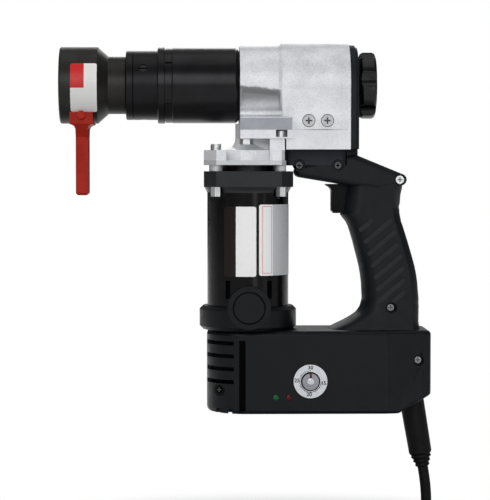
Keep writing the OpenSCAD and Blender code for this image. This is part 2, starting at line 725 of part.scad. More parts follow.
module case_bolt_solid(head) {
    rod_z(case_bolt_x, case_bolt_y, plate_z0, pad_top - 2, case_bolt_r);
    if (head > 0) translate([case_bolt_x, case_bolt_y, plate_z0 - head])
        cylinder(h = head, r = 1.92 * case_bolt_r, $fn = 6);
}
module gear_case() {
    color("#c3c8cc") difference() {
        union() {
            rod_x(case_x0, body_x0 + 1, boss_r);
            rod_x(nose_x0, case_x0 + 4, ring_od_r - gap);
            rod_z(motor_x, 0, split_z, -barrel_r - 0.5, neck_top_r);
            along_x(body_x0, case_x1) arch(case_r, case_side, split_drop);
            turned_x([[body_x0 - 3, 0], [body_x0 - 3, boss_r], [body_x0 + 1, case_r - 0.3],
                [body_x0 + 1, 0]]);
            along_x(case_x0, pad_x1) {
                translate([-pad_y, split_z]) square([2 * pad_y, pad_h - pad_round]);
                translate([pad_round - pad_y, split_z]) square([2 * (pad_y - pad_round), pad_h]);
                for (s = [-1, 1]) translate([s * (pad_y - pad_round), pad_top - pad_round]) circle(pad_round);
            }
            along_x(case_x0, body_x0 + 2) {
                translate([-bead_y, bead_z - bead_r]) square([2 * bead_y, 2 * bead_r]);
                for (s = [-1, 1]) translate([s * bead_y, bead_z]) circle(bead_r);
            }
        }
        tube_x(case_x0 - 1, case_x0 + spigot_len, boss_r - 1, ring_od_r - gap);
        rod_x(front_bearing_x0, front_bearing_x0 + front_bearing_w, front_bearing_r);
        rod_x(nose_x0 - 1, motor_x, front_bearing_r - 2);
        rod_x(front_bearing_x0 + front_bearing_w + 2, bevel_back_x + 3.6, gear_room_r);
        rod_x(bevel_back_x, rear_bearing_x0 + rear_bearing_w, rear_bearing_r);
        rod_x(rear_bearing_x0, rear_bearing_x0 + rear_bearing_w + 2, rear_journal_r + 2);
        rod_x(body_x0 + 8, case_x1 + 1, case_r - 11);
        rod_z(motor_x, 0, split_z - 1, 0, motor_back - 0.4);
        rod_z(motor_x, 0, -gear_room_r - 0.4, 0, pinion_pitch_r + 3);
        both_sides() case_screw_solid();
        both_sides() case_bolt_solid(0);
    }
}
module plate_outline() {
    difference() {
        polygon(chamfered_square(flange_half, flange_chamfer));
        translate([column_x1 - motor_x, -flange_half - 1]) square(2 * flange_half + 2);
    }
}
module lobed_plate() {
    difference() {
        plate_outline();
        for (a = [0, 90]) rotate(a) difference() {
            square([2 * lobe_bite, 2 * flange_half + 1], center = true);
            square([2 * lobe_bite + 1, 2 * neck_foot_r - 2], center = true);
        }
    }
}
module pinion_housing() {
    neck_r0 = neck_foot_r - neck_top_r;
    color("#c0c5c9") difference() {
        union() {
            box_between([case_x0, -pad_y, plate_z0], [pad_x1 + 1.2, pad_y, split_z]);
            box_between([isolator_x0 - 1, -case_side, block_z0], [case_x1, case_side, split_z]);
            translate([motor_x, 0, lobe_z0]) linear_extrude(height = lobe_t) lobed_plate();
            turned_z(motor_x, [[0, lobe_z0], [neck_foot_r, lobe_z0], [neck_foot_r, lobe_z1],
                for (a = [0 : 15 : 90])
                    [neck_foot_r - neck_r0 * sin(a), lobe_z1 + (plate_z0 - lobe_z1) * (1 - cos(a))],
                [neck_top_r, split_z], [0, split_z]]);
            box_between([motor_x, -neck_top_r, lobe_z0], [column_x1, neck_top_r, plate_z0 + 1]);
            both_sides() box_between([column_x0, -column_y, lobe_z0], [column_x1, -column_in, plate_z0 + 1]);
        }
        rod_z(motor_x, 0, lobe_z0 - 1, upper_bearing_z0 + small_bearing_h, small_bearing_r);
        rod_z(motor_x, 0, lobe_z0, split_z + 1, small_bearing_r - 3);
        for (p = bolt_places(bolt_half)) rod_z(motor_x + p[0], p[1], lobe_z0 - 1, split_z + 1, bolt_r);
        both_sides() box_between([notch_x0, -pad_y - 1, split_z - notch_depth],
            [notch_x0 + 9.6, -bolt_half + 4.8, split_z + 1]);
        both_sides() rod_z(case_bolt_x, case_bolt_y, plate_z0 - 1, split_z + 1, case_bolt_r);
    }
}
module case_screws() {
    color("#b9bcc0") both_sides() difference() {
        case_screw_solid();
        for (x = case_screw_xs, a = [0, 90]) translate([x, -case_side, case_screw_z]) rotate([0, a, 0])
            cube([5.2, 3, 1.1], center = true);
    }
}
module case_bolts() { color("#9b9ea2") both_sides() case_bolt_solid(5); }
module rear_cover() {
    color("#26272a") difference() {
        union() {
            along_x(case_x1, cover_x1 - 2) arch(case_r - 1.2, case_side - 1.2, split_drop + block_h);
            along_x(cover_x1 - 2, cover_x1) arch(case_r - 3, case_side - 3, split_drop + block_h - 0.1);
        }
        rod_x(case_x1 - 1, cover_x1 + 1, 4 + run);
    }
}
module selector_switch() {
    switch_r = case_r - 11.5;
    color("#45474a") difference() {
        union() {
            rod_x(case_x1 - 24, case_x1, switch_r - 4);
            rod_x(case_x1 - 4, case_x1, switch_r);
        }
        rod_x(case_x1 - 14, case_x1 + 1, 4 + run);
    }
}
module selector_knob() {
    flutes = 6;
    flute_r = 9;
    flute_depth = 3.4;
    flute_turn = 10;
    color("#222325") union() {
        intersection() {
            turned_x([[knob_x0, 0], [knob_x0, knob_r - 3], [knob_x0 + 0.9, knob_r - 0.9],
                [knob_x0 + 3, knob_r], [knob_x1 - 3, knob_r], [knob_x1 - 0.9, knob_r - 0.9],
                [knob_x1, knob_r - 3], [knob_x1, 0]]);
            along_x(knob_x0, knob_x1) difference() {
                circle(knob_r);
                for (i = [0 : flutes - 1]) rotate(180 - flute_turn + 360 / flutes * i)
                    translate([knob_r - flute_depth + flute_r, 0]) circle(flute_r);
            }
        }
        rod_x(cover_x1 + gap, knob_x0 + 1, 9);
        rod_x(case_x1 - 13, knob_x0 + 1, 4);
    }
}

// Motor: spacer, flanged tube, brush end ring and the wound parts inside
module motor_spacer() {
    color("#bfc4c8") difference() {
        union() {
            translate([motor_x, 0, spacer_z0]) linear_extrude(height = spacer_t) plate_outline();
            intersection() {
                for (p = bolt_places(bolt_half)) rod_z(motor_x + p[0], p[1], flange_z1, lobe_z0, standoff_r);
                box_between([case_x0 - flange_half, -flange_half, flange_z1],
                    [isolator_x0 - 0.9, flange_half, lobe_z0]);
            }
        }
        rod_z(motor_x, 0, spacer_z0 - 1, lobe_z0 + 1, small_bearing_r - 2);
        for (p = bolt_places(bolt_half)) rod_z(motor_x + p[0], p[1], flange_z1 - 1, lobe_z0 + 1, bolt_r);
    }
}
module motor_housing() {
    slot_x = 17.3;
    color("#1f2022") difference() {
        union() {
            translate([motor_x, 0, flange_z0]) linear_extrude(height = flange_t)
                polygon(chamfered_square(flange_half, flange_chamfer));
            translate([motor_x, 0, flange_z0 - 5]) cylinder(h = 5, r1 = motor_r, r2 = flange_half);
            rod_z(motor_x, 0, tube_z0, flange_z0 + 1, motor_r);
            rod_z(motor_x, 0, flange_z1 - 1, spacer_z0, neck_foot_r);
        }
        rod_z(motor_x, 0, tube_z0 - 1, flange_z1 - 3, tube_bore_r);
        rod_z(motor_x, 0, flange_z1 - 4, spacer_z0 + 1, small_bearing_r - 2);
        for (p = bolt_places(bolt_half)) {
            rod_z(motor_x + p[0], p[1], flange_z0 - 1, flange_z1 + 1, bolt_r);
            rod_z(motor_x + p[0], p[1], flange_z0 - nut_h - 2, flange_z0, nut_flats * 0.62);
        }
        both_sides() for (s = [-1, 1])
            box_between([motor_x + s * slot_x - 1.9, -motor_r, tube_z0 + 7],
                [motor_x + s * slot_x + 1.9, -15, tube_z0 + 22]);
        rod_y(motor_x, brush_z, -motor_r - 1, motor_r + 1, brush_bore_r + 1.5);
    }
}
module motor_bolts() {
    color("#b7babd") for (p = bolt_places(bolt_half)) {
        head_z = p[0] < 0 ? lobe_z1 : split_z - notch_depth;
        translate([motor_x + p[0], p[1], 0]) {
            rod_z(0, 0, flange_z0 - nut_h, head_z, bolt_r);
            difference() {
                rod_z(0, 0, head_z, head_z + bolt_head_h, bolt_head_r);
                translate([0, 0, head_z + 2.5]) cylinder(h = 4, r = 2.3, $fn = 6);
            }
            translate([0, 0, flange_z0 - nut_h]) rotate(15)
                cylinder(h = nut_h, r = nut_flats * 0.577, $fn = 6);
        }
    }
}
module armature() {
    slots = 12;
    color("#a4683c") difference() {
        union() {
            rod_z(motor_x, 0, lower_bearing_z0, -bevel_pitch_r + 4, pinion_core_r - 0.1);
            rod_z(motor_x, 0, lower_bearing_z0, upper_bearing_z0 + small_bearing_h + 4, shaft_r - run);
            rod_z(motor_x, 0, core_z0, core_z1, core_r);
            turned_z(motor_x, [[0, core_z0 - 10], [10, core_z0 - 10], [15, core_z0 - 4],
                [15, core_z1 + 4], [10, core_z1 + 8], [0, core_z1 + 8]]);
            rod_z(motor_x, 0, lower_bearing_z0 + small_bearing_h + 1.5, core_z0 - 9, comm_r);
        }
        for (i = [0 : slots - 1]) translate([motor_x, 0, core_z0 - 1]) rotate(360 / slots * i)
            translate([15.2, -1, 0]) cube([4, 2, core_z1 - core_z0 + 2]);
    }
}
module bevel_pinion() {
    color("#8d9094") translate([motor_x, 0, 0])
        bevel_wheel(pinion_pitch_r, pinion_teeth, pinion_cone, pinion_core_r,
            -bevel_pitch_r - 4, -bevel_pitch_r + 8.6, 0);
}
module cooling_fan() {
    blades = 11;
    fan_r = tube_bore_r - 1.6;
    color("#5b5d60") difference() {
        union() {
            rod_z(motor_x, 0, fan_z0, fan_z0 + 1.6, fan_r);
            rod_z(motor_x, 0, fan_z0, fan_z0 + fan_h, 9);
            for (i = [0 : blades - 1]) translate([motor_x, 0, fan_z0]) rotate(360 / blades * i)
                translate([8.5, -0.7, 0]) cube([fan_r - 9, 1.4, fan_h - 1]);
        }
        rod_z(motor_x, 0, fan_z0 - 1, fan_z0 + fan_h + 1, shaft_r - run);
    }
}
module field_stator() {
    stack_h = core_z1 - core_z0 - 4;
    color("#6d6f72") translate([motor_x, 0, core_z0 + 2]) linear_extrude(height = stack_h) difference() {
        circle(tube_bore_r - 0.02);
        circle(stator_bore_r);
        for (a = [0, 180]) rotate(a) intersection() {
            difference() {
                circle(tube_bore_r - yoke_t);
                circle(stator_bore_r + pole_tip_t);
            }
            translate([0, -winding_half]) square([tube_bore_r, 2 * winding_half]);
        }
    }
}
module motor_bearings() {
    color("#b4b7ba") {
        bearing_z(motor_x, upper_bearing_z0, small_bearing_h, small_bearing_r, shaft_r);
        bearing_z(motor_x, lower_bearing_z0, small_bearing_h, small_bearing_r, shaft_r);
    }
}
module end_bell() {
    edge = 3;
    seat_z1 = lower_bearing_z0 + small_bearing_h;
    color("#1d1e20") difference() {
        union() {
            turned_z(motor_x, [[8, bell_z0], [bell_r - edge, bell_z0], [bell_r, bell_z0 + edge],
                [bell_r, tube_z0 - edge], [bell_r - edge, tube_z0], [27, tube_z0],
                [27, seat_z1], [8, seat_z1]]);
            turned_z(motor_x, [[27, tube_z0 - 1], [tube_bore_r - 1.5, tube_z0 - 1],
                [tube_bore_r - 1.5, tube_z0 + 24], [27, tube_z0 + 24]]);
            both_sides() difference() {
                rod_y(motor_x, brush_z, -brush_face, -20, brush_boss_r);
                rod_z(motor_x, 0, tube_z0, tube_z0 + 40, motor_r);
                rod_z(motor_x, 0, bell_z0 - 1, tube_z0 + 1, 27);
            }
        }
        rod_z(motor_x, 0, lower_bearing_z0, tube_z0, small_bearing_r);
        both_sides() {
            rod_y(motor_x, brush_z, -brush_face - 1, 0, brush_bore_r);
            rod_y(motor_x, brush_z, -brush_face - 1, -brush_face + cap_depth, brush_cap_r + 0.2);
        }
    }
}
module carbon_brushes() {
    color("#2c2c2e") both_sides() box_between([motor_x - brush_half_x, -brush_end, brush_z - brush_half_z],
        [motor_x + brush_half_x, -comm_r - brush_play, brush_z + brush_half_z]);
}
function coil_path(turns, r, length) = [for (i = [0 : turns * 12])
    [length * i / (turns * 12), r * cos(30 * i), r * sin(30 * i)]];
module brush_springs() {
    color("#c2a24a") both_sides() translate([motor_x, -brush_end - spring_wire_r, brush_z])
        rotate([0, 0, -90])
            swept_tube(coil_path(4, brush_spring_r, brush_spring_len), spring_wire_r, 6, [1, 0, 0]);
}
module brush_caps() {
    color("#2a2b2d") both_sides() {
        rod_y(motor_x, brush_z, -brush_face - 0.8, -brush_face + cap_depth, brush_cap_r);
        rod_y(motor_x, brush_z, -brush_face + cap_depth - 0.5, -brush_face + 7.5, brush_bore_r - 0.05);
    }
}

// Grip: an isolator block under the case and two moulded halves with the trigger between them
module clamp_holes() {
    for (x = clamp_xs) {
        rod_y(x, clamp_z, -arm_half - 5, arm_half + 5, 2);
        both_sides() rod_y(x, clamp_z, -arm_half - 5, -arm_half + 3.2, 5);
    }
}
module isolator_block() {
    w = isolator_x1 - isolator_x0;
    color("#232427") difference() {
        translate([(isolator_x0 + isolator_x1) / 2, 0, isolator_z0]) linear_extrude(height = isolator_h)
            rounded_rect(w, 2 * arm_half, 4);
        clamp_holes();
    }
}
module clamp_screws() {
    color("#a5a8ac") for (x = clamp_xs) difference() {
        union() {
            rod_y(x, clamp_z, -arm_half + 1, arm_half - 1, 2);
            rod_y(x, clamp_z, -arm_half + 1, -arm_half + 3.2, 2.8);
            translate([x, arm_half - 3.2, clamp_z]) rotate([-90, 0, 0]) cylinder(h = 2.4, r = 4, $fn = 6);
        }
        for (a = [0, 90]) translate([x, -arm_half + 1, clamp_z]) rotate([0, a, 0])
            cube([3.6, 1.8, 0.8], center = true);
    }
}
function grip_side(front, back, half) = [[back, 0], [back - 0.4, 0.3 * half], [back - 1.4, 0.58 * half],
    [back - 3.6, 0.82 * half], [back - grip_crease, half], [(front + back) / 2, half],
    for (a = [0 : 15 : 90]) [front + grip_nose * (1 - sin(a)), half * cos(a)]];
function grip_ring(t) =
    let (base = mix(case_x1, box_x1, t), z = mix(grip_z1, box_z1, t),
        side = grip_side(base + row_value(grip_rows, 1, t), base + row_value(grip_rows, 2, t),
            grip_half + row_value(grip_rows, 3, t)))
    concat([for (p = side) [p[0], p[1], z]],
        [for (i = [len(side) - 2 : -1 : 1]) [side[i][0], -side[i][1], z]]);
module grip_loft() {
    rings = [for (t = grip_levels) grip_ring(t)];
    polyhedron([for (r = rings) each r], stack_faces(len(rings), len(rings[0])), convexity = 6);
}
module arm_body() {
    centres = [[isolator_x0 + 12.3, isolator_z0 - arm_round - 0.2], [case_x1 + 3.4, isolator_z0 + 4.6],
        [beak_x, beak_z], [isolator_x1 - 9, isolator_z0 - 9.6], [case_x1 + 25, isolator_z0 - 16]];
    hull() for (c = centres, s = [-1, 1])
        translate([c[0], s * (arm_half - arm_round), c[1]]) sphere(arm_round, $fn = 24);
}
module grip_ribs() {
    last = rib_count - 1;
    slope = 40;
    relief = 0.9;
    for (i = [0 : last]) {
        t = mix(0.261, 0.821, i / last);
        end = i == 0 ? -1 : i == last ? 1 : 0;
        reach = end == 0 ? 13.2 : 5.4;
        base = mix(case_x1, box_x1, t);
        x = base + (row_value(grip_rows, 1, t) + row_value(grip_rows, 2, t)) / 2 - 0.5;
        half = grip_half + row_value(grip_rows, 3, t) + relief;
        translate([x, 0, mix(grip_z1, box_z1, t)]) rotate([0, -slope, 0]) along_y(-half, half)
            translate([8 * end, 0]) {
                square([2 * reach, rib_w], center = true);
                for (s = [-1, 1]) translate([s * reach, 0]) circle(rib_w / 2);
            }
    }
}
module screw_cut(at, y_head) {
    rod_y(at[0], at[1], y_head, 12, 1.6);
    rod_y(at[0], at[1], -box_half - 10, y_head, shell_screw_hole_r);
}
module handle_body() {
    difference() {
        union() {
            difference() {
                arm_body();
                box_between([isolator_x0 - 5, -arm_half - 1, isolator_z0],
                    [horn_x0, arm_half + 1, isolator_z1 + 10]);
            }
            box_between([horn_x0, 3 - arm_half, isolator_z0 - 4], [cover_x1, arm_half - 3, isolator_z1]);
            grip_loft();
            grip_ribs();
        }
        clamp_holes();
        for (i = [0, 1]) screw_cut(handle_screws_at[i], handle_screw_y[i]);
        box_between([trigger_x0 - 8, -trigger_half - gap, trigger_z - trigger_h / 2 - gap],
            [switch_x0, trigger_half + gap, trigger_z + trigger_h / 2 + gap]);
        box_between([switch_x0 - 0.1, -switch_half, trigger_z - switch_h / 2],
            [switch_x0 + switch_len, switch_half, trigger_z + switch_h / 2]);
    }
}
module handle_left() {
    color("#1e1f22") intersection() {
        handle_body();
        box_between([isolator_x0 - 20, 0, box_z0], [box_x1 + 20, 60, 0]);
    }
}
module handle_right() {
    color("#1e1f22") intersection() {
        handle_body();
        box_between([isolator_x0 - 20, -60, box_z0], [box_x1 + 20, 0, 0]);
    }
}
module recessed_screw(at, y_head, head_r) {
    difference() {
        union() {
            rod_y(at[0], at[1], y_head, 12, 1.6);
            rod_y(at[0], at[1], y_head - 2.2, y_head, head_r);
        }
        for (a = [0, 90]) translate([at[0], y_head - 2.2, at[1]]) rotate([0, a, 0])
            cube([4, 2, 0.9], center = true);
    }
}
module shell_screws() {
    color("#a5a8ac") for (i = [0, 1]) {
        recessed_screw(handle_screws_at[i], handle_screw_y[i], shell_screw_rs[i]);
        recessed_screw(box_screws_at[i], box_screw_y[i], shell_screw_rs[1]);
    }
}
module trigger() {
    top = trigger_h / 2;
    body_len = 14;
    blade_len = 5.2;
    color("#1a1b1d") translate([trigger_x0, 0, trigger_z]) {
        along_y(-trigger_half, trigger_half)
            polygon([[-4.9, top], [-4.7, top - 1.1], [-2.6, top - 2.2], [-1, top - 3.8], [-0.2, top - 5.8],
                [0, top - 8], [0, 2 - top], [1.6, -top], [blade_len, -top], [blade_len, top]]);
        along_y(1.6 - trigger_half, trigger_half - 1.6) polygon([[blade_len - 1, -top], [body_len, -top],
            [body_len, top], [blade_len - 1, top]]);
        translate([body_len - 1, 0, 0]) rotate([0, 90, 0]) cylinder(h = 14, r = plunger_r);
    }
}
module trigger_switch() {
    color("#3b3d40") difference() {
        box_between([switch_x0, -switch_half, trigger_z - switch_h / 2],
            [switch_x0 + switch_len, switch_half, trigger_z + switch_h / 2]);
        translate([0, 0, trigger_z]) rod_x(switch_x0 - 1, switch_x0 + 5.6 + trigger_travel, plunger_r + run);
    }
}
module trigger_spring() {
    color("#c0c3c6") translate([trigger_x0 + 14.6, 0, trigger_z])
        swept_tube(coil_path(4, 4.6, switch_x0 - trigger_x0 - 15.2), 0.5, 6, [1, 0, 0]);
}

// Control box: two shells with louvres at the round front and a bevelled tail for the cord
module box_shape(inset) {
    e = max(box_edge - inset, 1);
    hull() {
        for (z = [box_z0 + inset + e, box_z1 - inset - e]) translate([motor_x, 0, z])
            rotate_extrude($fn = 48) translate([box_half - inset - e, 0]) circle(e, $fn = 12);
        for (s = [-1, 1]) {
            for (p = [[taper_x, box_z1 - inset - e], [taper_x, box_z0 + inset + e]])
                translate([p[0], s * (box_half - inset - e), p[1]]) sphere(e, $fn = 16);
            for (z = [box_z1 - inset - e, chamfer_z + inset * 0.6 + e])
                translate([box_x1 - inset - e, s * (rear_half - inset - e), z]) sphere(e, $fn = 16);
            translate([chamfer_x - inset * 0.6, s * (box_half - inset - e - 2), box_z0 + inset + e])
                sphere(e, $fn = 16);
        }
    }
}
module guard_rod(s0, s1, r) {
    translate([guard_x, 0, guard_z]) rotate([0, 180 - guard_lean, 0]) translate([0, 0, s0])
        cylinder(h = s1 - s0, r = r);
}
module box_cuts() {
    pitch = 10.8;
    for (i = [0 : louvre_count - 1]) {
        z = box_z1 - 10.4 - pitch * i;
        difference() {
            box_between([box_x0 - 5, -box_half - 5, z - louvre_h / 2],
                [motor_x - 12.6, box_half + 5, z + louvre_h / 2]);
            box_between([box_x0 - 6, -4, z - louvre_h], [motor_x, 4, z + louvre_h]);
        }
    }
    both_sides() {
        box_between([groove_x - 2.7, -box_half - 1, box_z0 + 2.5],
            [groove_x + 2.7, -box_half + 1.8, box_z1 - 8]);
        for (x = [motor_x - 25.5, motor_x - 15.5])
            box_between([x - 1.6, -box_half, box_z0 - 1], [x + 1.6, -16, box_z0 + wall + 1.2]);
    }
    rod_z(motor_x, 0, box_z1 - wall - 1, box_z1 + 1, 24);
    for (i = [0, 1]) screw_cut(box_screws_at[i], box_screw_y[i]);
    rod_y(dial_x, dial_z, -box_half - 1, -box_half + wall + 1, 3 + gap);
    for (x = led_xs) rod_y(x, led_z, -box_half - 1, -box_half + wall + 1, led_r);
    guard_rod(-14, 20, guard_r);
}
module box_shell() {
    difference() {
        union() {
            difference() {
                box_shape(0);
                box_shape(wall);
            }
            intersection() {
                box_shape(0.5);
                union() {
                    for (p = box_screws_at) rod_y(p[0], p[1], -box_half, box_half, 6.6);
                    box_between([box_x0, 0, box_z0], [groove_x - 3, 1.6, box_z1]);
                }
            }
        }
        box_cuts();
    }
}
board_posts = [for (x = [dial_x - 36, dial_x + 40], z = [box_z0 + 9, box_z1 - 9]) [x, z]];
module box_left() {
    color("#1c1d20") intersection() {
        box_shell();
        box_between([box_x0 - 5, 0, box_z0 - 5], [box_x1 + 5, 60, box_z1 + 5]);
    }
}
module box_right() {
    color("#1c1d20") union() {
        intersection() {
            box_shell();
            box_between([box_x0 - 5, -60, box_z0 - 5], [box_x1 + 5, 0, box_z1 + 5]);
        }
        for (p = board_posts) rod_y(p[0], p[1], -box_half + wall - 0.5, board_y, 3);
    }
}
module control_board() {
    face_y = board_y + board_t;
    board_edge = 4;
    part_z = box_z1 - 20;
    capacitor_h = 14;
    sink_t = 6;
    sink_h = 16;
    color("#2d6b45") {
        box_between([board_posts[0][0] - board_edge, board_y, box_z0 + wall + 2],
            [board_posts[2][0] + board_edge, face_y, box_z1 - wall - 2]);
        for (p = [[dial_x + 18, 5], [dial_x + 30, 3.5]])
            rod_y(p[0], part_z, face_y, face_y + capacitor_h, p[1]);
        box_between([dial_x - 30, face_y, part_z - sink_t], [dial_x - 6, face_y + sink_h, part_z]);
    }
}
module potentiometer() {
    color("#8f9296") difference() {
        union() {
            rod_y(dial_x, dial_z, -box_half + wall + 4, board_y, 8);
            rod_y(dial_x, dial_z, -box_half + wall, -box_half + wall + 5, 4.5);
        }
        rod_y(dial_x, dial_z, -box_half, board_y - 2, 3 + run);
    }
}
dial_plate_t = 1.2;
module dial_plate() {
    color("#c9ccd0") difference() {
        rod_y(dial_x, dial_z, -box_half - dial_plate_t, -box_half, dial_r);
        rod_y(dial_x, dial_z, -box_half - 5, -box_half + 1, 3 + gap);
        rod_y(dial_x, dial_z, -box_half - 5, -box_half - dial_plate_t / 2, dial_knob_r + 1.2);
    }
}
module dial_knob() {
    face_y = -box_half - dial_plate_t - 2.8;
    color("#6f7276") difference() {
        union() {
            rod_y(dial_x, dial_z, face_y, -box_half - dial_plate_t / 2 - gap, dial_knob_r);
            rod_y(dial_x, dial_z, face_y + 1, board_y - 2.5, 3);
        }
        box_between([dial_x - 0.8, face_y - 1, dial_z],
            [dial_x + 0.8, face_y + 0.9, dial_z + dial_knob_r + 1]);
    }
}
module led(x) {
    translate([x, 0, led_z]) rotate([90, 0, 0]) rotate_extrude() polygon([[0, -board_y], [1.6, -board_y],
        [1.6, box_half - wall - 1], [led_r, box_half - wall - 1], [led_r, box_half + 0.4],
        for (a = [15 : 15 : 90]) [led_r * cos(a), box_half + 0.4 + 0.9 * sin(a)]]);
}
module green_led() { color("#2f7d3e") led(led_xs[0]); }
module red_led() { color("#9c2a22") led(led_xs[1]); }

// Cord: the guard in the box's tail, the lead down to the floor, the tied coil and the plug
module cord_guard() {
    rings = 3;
    color("#18191b") translate([guard_x, 0, guard_z]) rotate([0, 180 - guard_lean, 0]) rotate_extrude()
        polygon([[0, -12], [guard_r, -12], [guard_r, 2], [guard_r - 0.6, guard_len - 13],
            for (i = [0 : rings - 1]) let (r = guard_r - 1.2 * i, s = guard_len - 11.5 + 3.6 * i)
                each [[r - 0.9, s], [r - 2.1, s + 1], [r - 2.1, s + 2.2], [r - 1.5, s + 3]],
            [cord_r + 0.8, guard_len], [0, guard_len]]);
}
module power_cord() {
    color("#151618") {
        swept_tube(concat([guard_tip], lead_route), cord_r, 10, [0.9, 0.1, 0]);
        swept_tube(tail_route, cord_r, 10, [0, 1, 0]);
    }
}
module cord_coil() {
    color("#17181a") translate([coil_x, coil_y, floor_z]) rotate_extrude()
        translate([coil_mid_r, coil_h / 2]) rounded_rect(coil_out_r - coil_in_r, coil_h, 4);
}
module cord_tie() {
    color("#2b2c2f") translate([coil_x - coil_mid_r, coil_y, floor_z + coil_h / 2]) rotate([90, 0, 0])
        translate([0, 0, -5]) linear_extrude(height = 10) difference() {
            rounded_rect(coil_out_r - coil_in_r + 3.4, coil_h + 3.4, 5);
            rounded_rect(coil_out_r - coil_in_r + 0.8, coil_h + 0.8, 4);
        }
}
module power_plug() {
    body_len = 34;
    color("#1a1b1d") translate([plug_x, plug_y, plug_z]) {
        rotate([0, 90, 0]) cylinder(h = 14, r1 = cord_r + 0.8, r2 = cord_r + 2.2);
        translate([13, -13, -8.3]) cube([body_len - 13, 26, 16.6]);
        for (s = [-1, 1]) translate([body_len - 1, s * 6.35 - 0.75, -3.15]) cube([17, 1.5, 6.3]);
    }
}

reaction_ring();
reaction_hub();
reaction_arm();
arm_bolts();
lock_screws();
front_collar();
ring_nut();
gear_barrel();
ring_gear();
output_spindle();
gear_bearings();
final_planet_1();
final_planet_2();
final_planet_3();
first_carrier();
first_planet_1();
first_planet_2();
first_planet_3();
input_shaft();
bevel_gear();
gear_case();
pinion_housing();
case_screws();
case_bolts();
rear_cover();
selector_switch();
selector_knob();
motor_spacer();
motor_housing();
motor_bolts();
armature();
bevel_pinion();
cooling_fan();
field_stator();
motor_bearings();
end_bell();
carbon_brushes();
brush_springs();
brush_caps();
isolator_block();
handle_left();
handle_right();
shell_screws();
clamp_screws();
trigger();
trigger_switch();
trigger_spring();
box_left();
box_right();
control_board();
potentiometer();
dial_plate();
dial_knob();
green_led();
red_led();
cord_guard();
power_cord();
cord_coil();
cord_tie();
power_plug();
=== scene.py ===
"""Looks of an electric nutrunner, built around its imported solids. Metres; +Z up, -X is the nose."""
import json
import math

import bmesh
import bpy
import numpy as np
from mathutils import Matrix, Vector

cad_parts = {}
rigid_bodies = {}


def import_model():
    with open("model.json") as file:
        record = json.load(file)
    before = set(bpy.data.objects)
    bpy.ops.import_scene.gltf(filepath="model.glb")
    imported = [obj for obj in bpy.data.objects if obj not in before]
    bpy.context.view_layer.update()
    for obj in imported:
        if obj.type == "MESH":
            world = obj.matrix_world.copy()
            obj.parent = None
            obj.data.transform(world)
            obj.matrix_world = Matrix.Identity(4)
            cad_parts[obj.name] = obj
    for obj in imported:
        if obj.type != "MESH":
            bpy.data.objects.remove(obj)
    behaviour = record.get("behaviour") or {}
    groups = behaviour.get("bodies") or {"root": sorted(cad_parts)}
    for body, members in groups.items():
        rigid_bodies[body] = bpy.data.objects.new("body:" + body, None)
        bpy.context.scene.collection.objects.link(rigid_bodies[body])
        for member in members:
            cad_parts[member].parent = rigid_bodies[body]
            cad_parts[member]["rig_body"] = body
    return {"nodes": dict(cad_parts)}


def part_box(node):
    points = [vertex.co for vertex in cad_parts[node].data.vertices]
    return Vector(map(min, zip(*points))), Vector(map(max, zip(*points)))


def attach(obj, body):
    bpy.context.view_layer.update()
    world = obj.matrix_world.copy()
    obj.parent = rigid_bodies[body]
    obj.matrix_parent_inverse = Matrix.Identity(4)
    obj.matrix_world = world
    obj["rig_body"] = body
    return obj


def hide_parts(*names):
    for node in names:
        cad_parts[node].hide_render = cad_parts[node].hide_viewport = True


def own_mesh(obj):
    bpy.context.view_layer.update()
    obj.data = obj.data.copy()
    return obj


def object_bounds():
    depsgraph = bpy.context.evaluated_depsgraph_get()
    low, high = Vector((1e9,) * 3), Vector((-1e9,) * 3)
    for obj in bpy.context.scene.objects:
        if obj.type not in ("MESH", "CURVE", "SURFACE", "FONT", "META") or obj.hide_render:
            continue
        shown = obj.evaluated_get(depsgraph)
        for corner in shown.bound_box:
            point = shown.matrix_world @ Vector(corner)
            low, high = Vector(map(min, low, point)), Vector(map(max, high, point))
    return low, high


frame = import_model()
cad_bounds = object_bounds()
scene = bpy.context.scene
scene.view_settings.view_transform = "Standard"

# Camera. A long lens looks square at the side with the dial, from a little above the tool's middle.
# One pixel of the 490 by 500 picture is 0.85 mm at the tool's middle plane.
PICTURE_HEIGHT = 500
METRES_PER_PIXEL = 0.00085
AIM_POINT = Vector((0.150, 0.0, -0.1394))
CAMERA_DISTANCE = 1.70
CAMERA_RISE = math.radians(2.3)
CAMERA_TURN = math.radians(-1.5)
SENSOR_WIDTH = 36
NEAREST_SEEN = 0.05
FARTHEST_SEEN = 50

camera_data = bpy.data.cameras.new("camera")
camera = bpy.data.objects.new("camera", camera_data)
scene.collection.objects.link(camera)
camera_back = Vector((
    math.sin(CAMERA_TURN) * math.cos(CAMERA_RISE),
    -math.cos(CAMERA_TURN) * math.cos(CAMERA_RISE),
    math.sin(CAMERA_RISE)))
camera.location = AIM_POINT + camera_back * CAMERA_DISTANCE
camera.rotation_euler = (-camera_back).to_track_quat("-Z", "Y").to_euler()
camera_data.sensor_width = SENSOR_WIDTH
camera_data.lens = SENSOR_WIDTH * CAMERA_DISTANCE / (PICTURE_HEIGHT * METRES_PER_PIXEL)
camera_data.clip_start = NEAREST_SEEN
camera_data.clip_end = FARTHEST_SEEN
scene.camera = camera

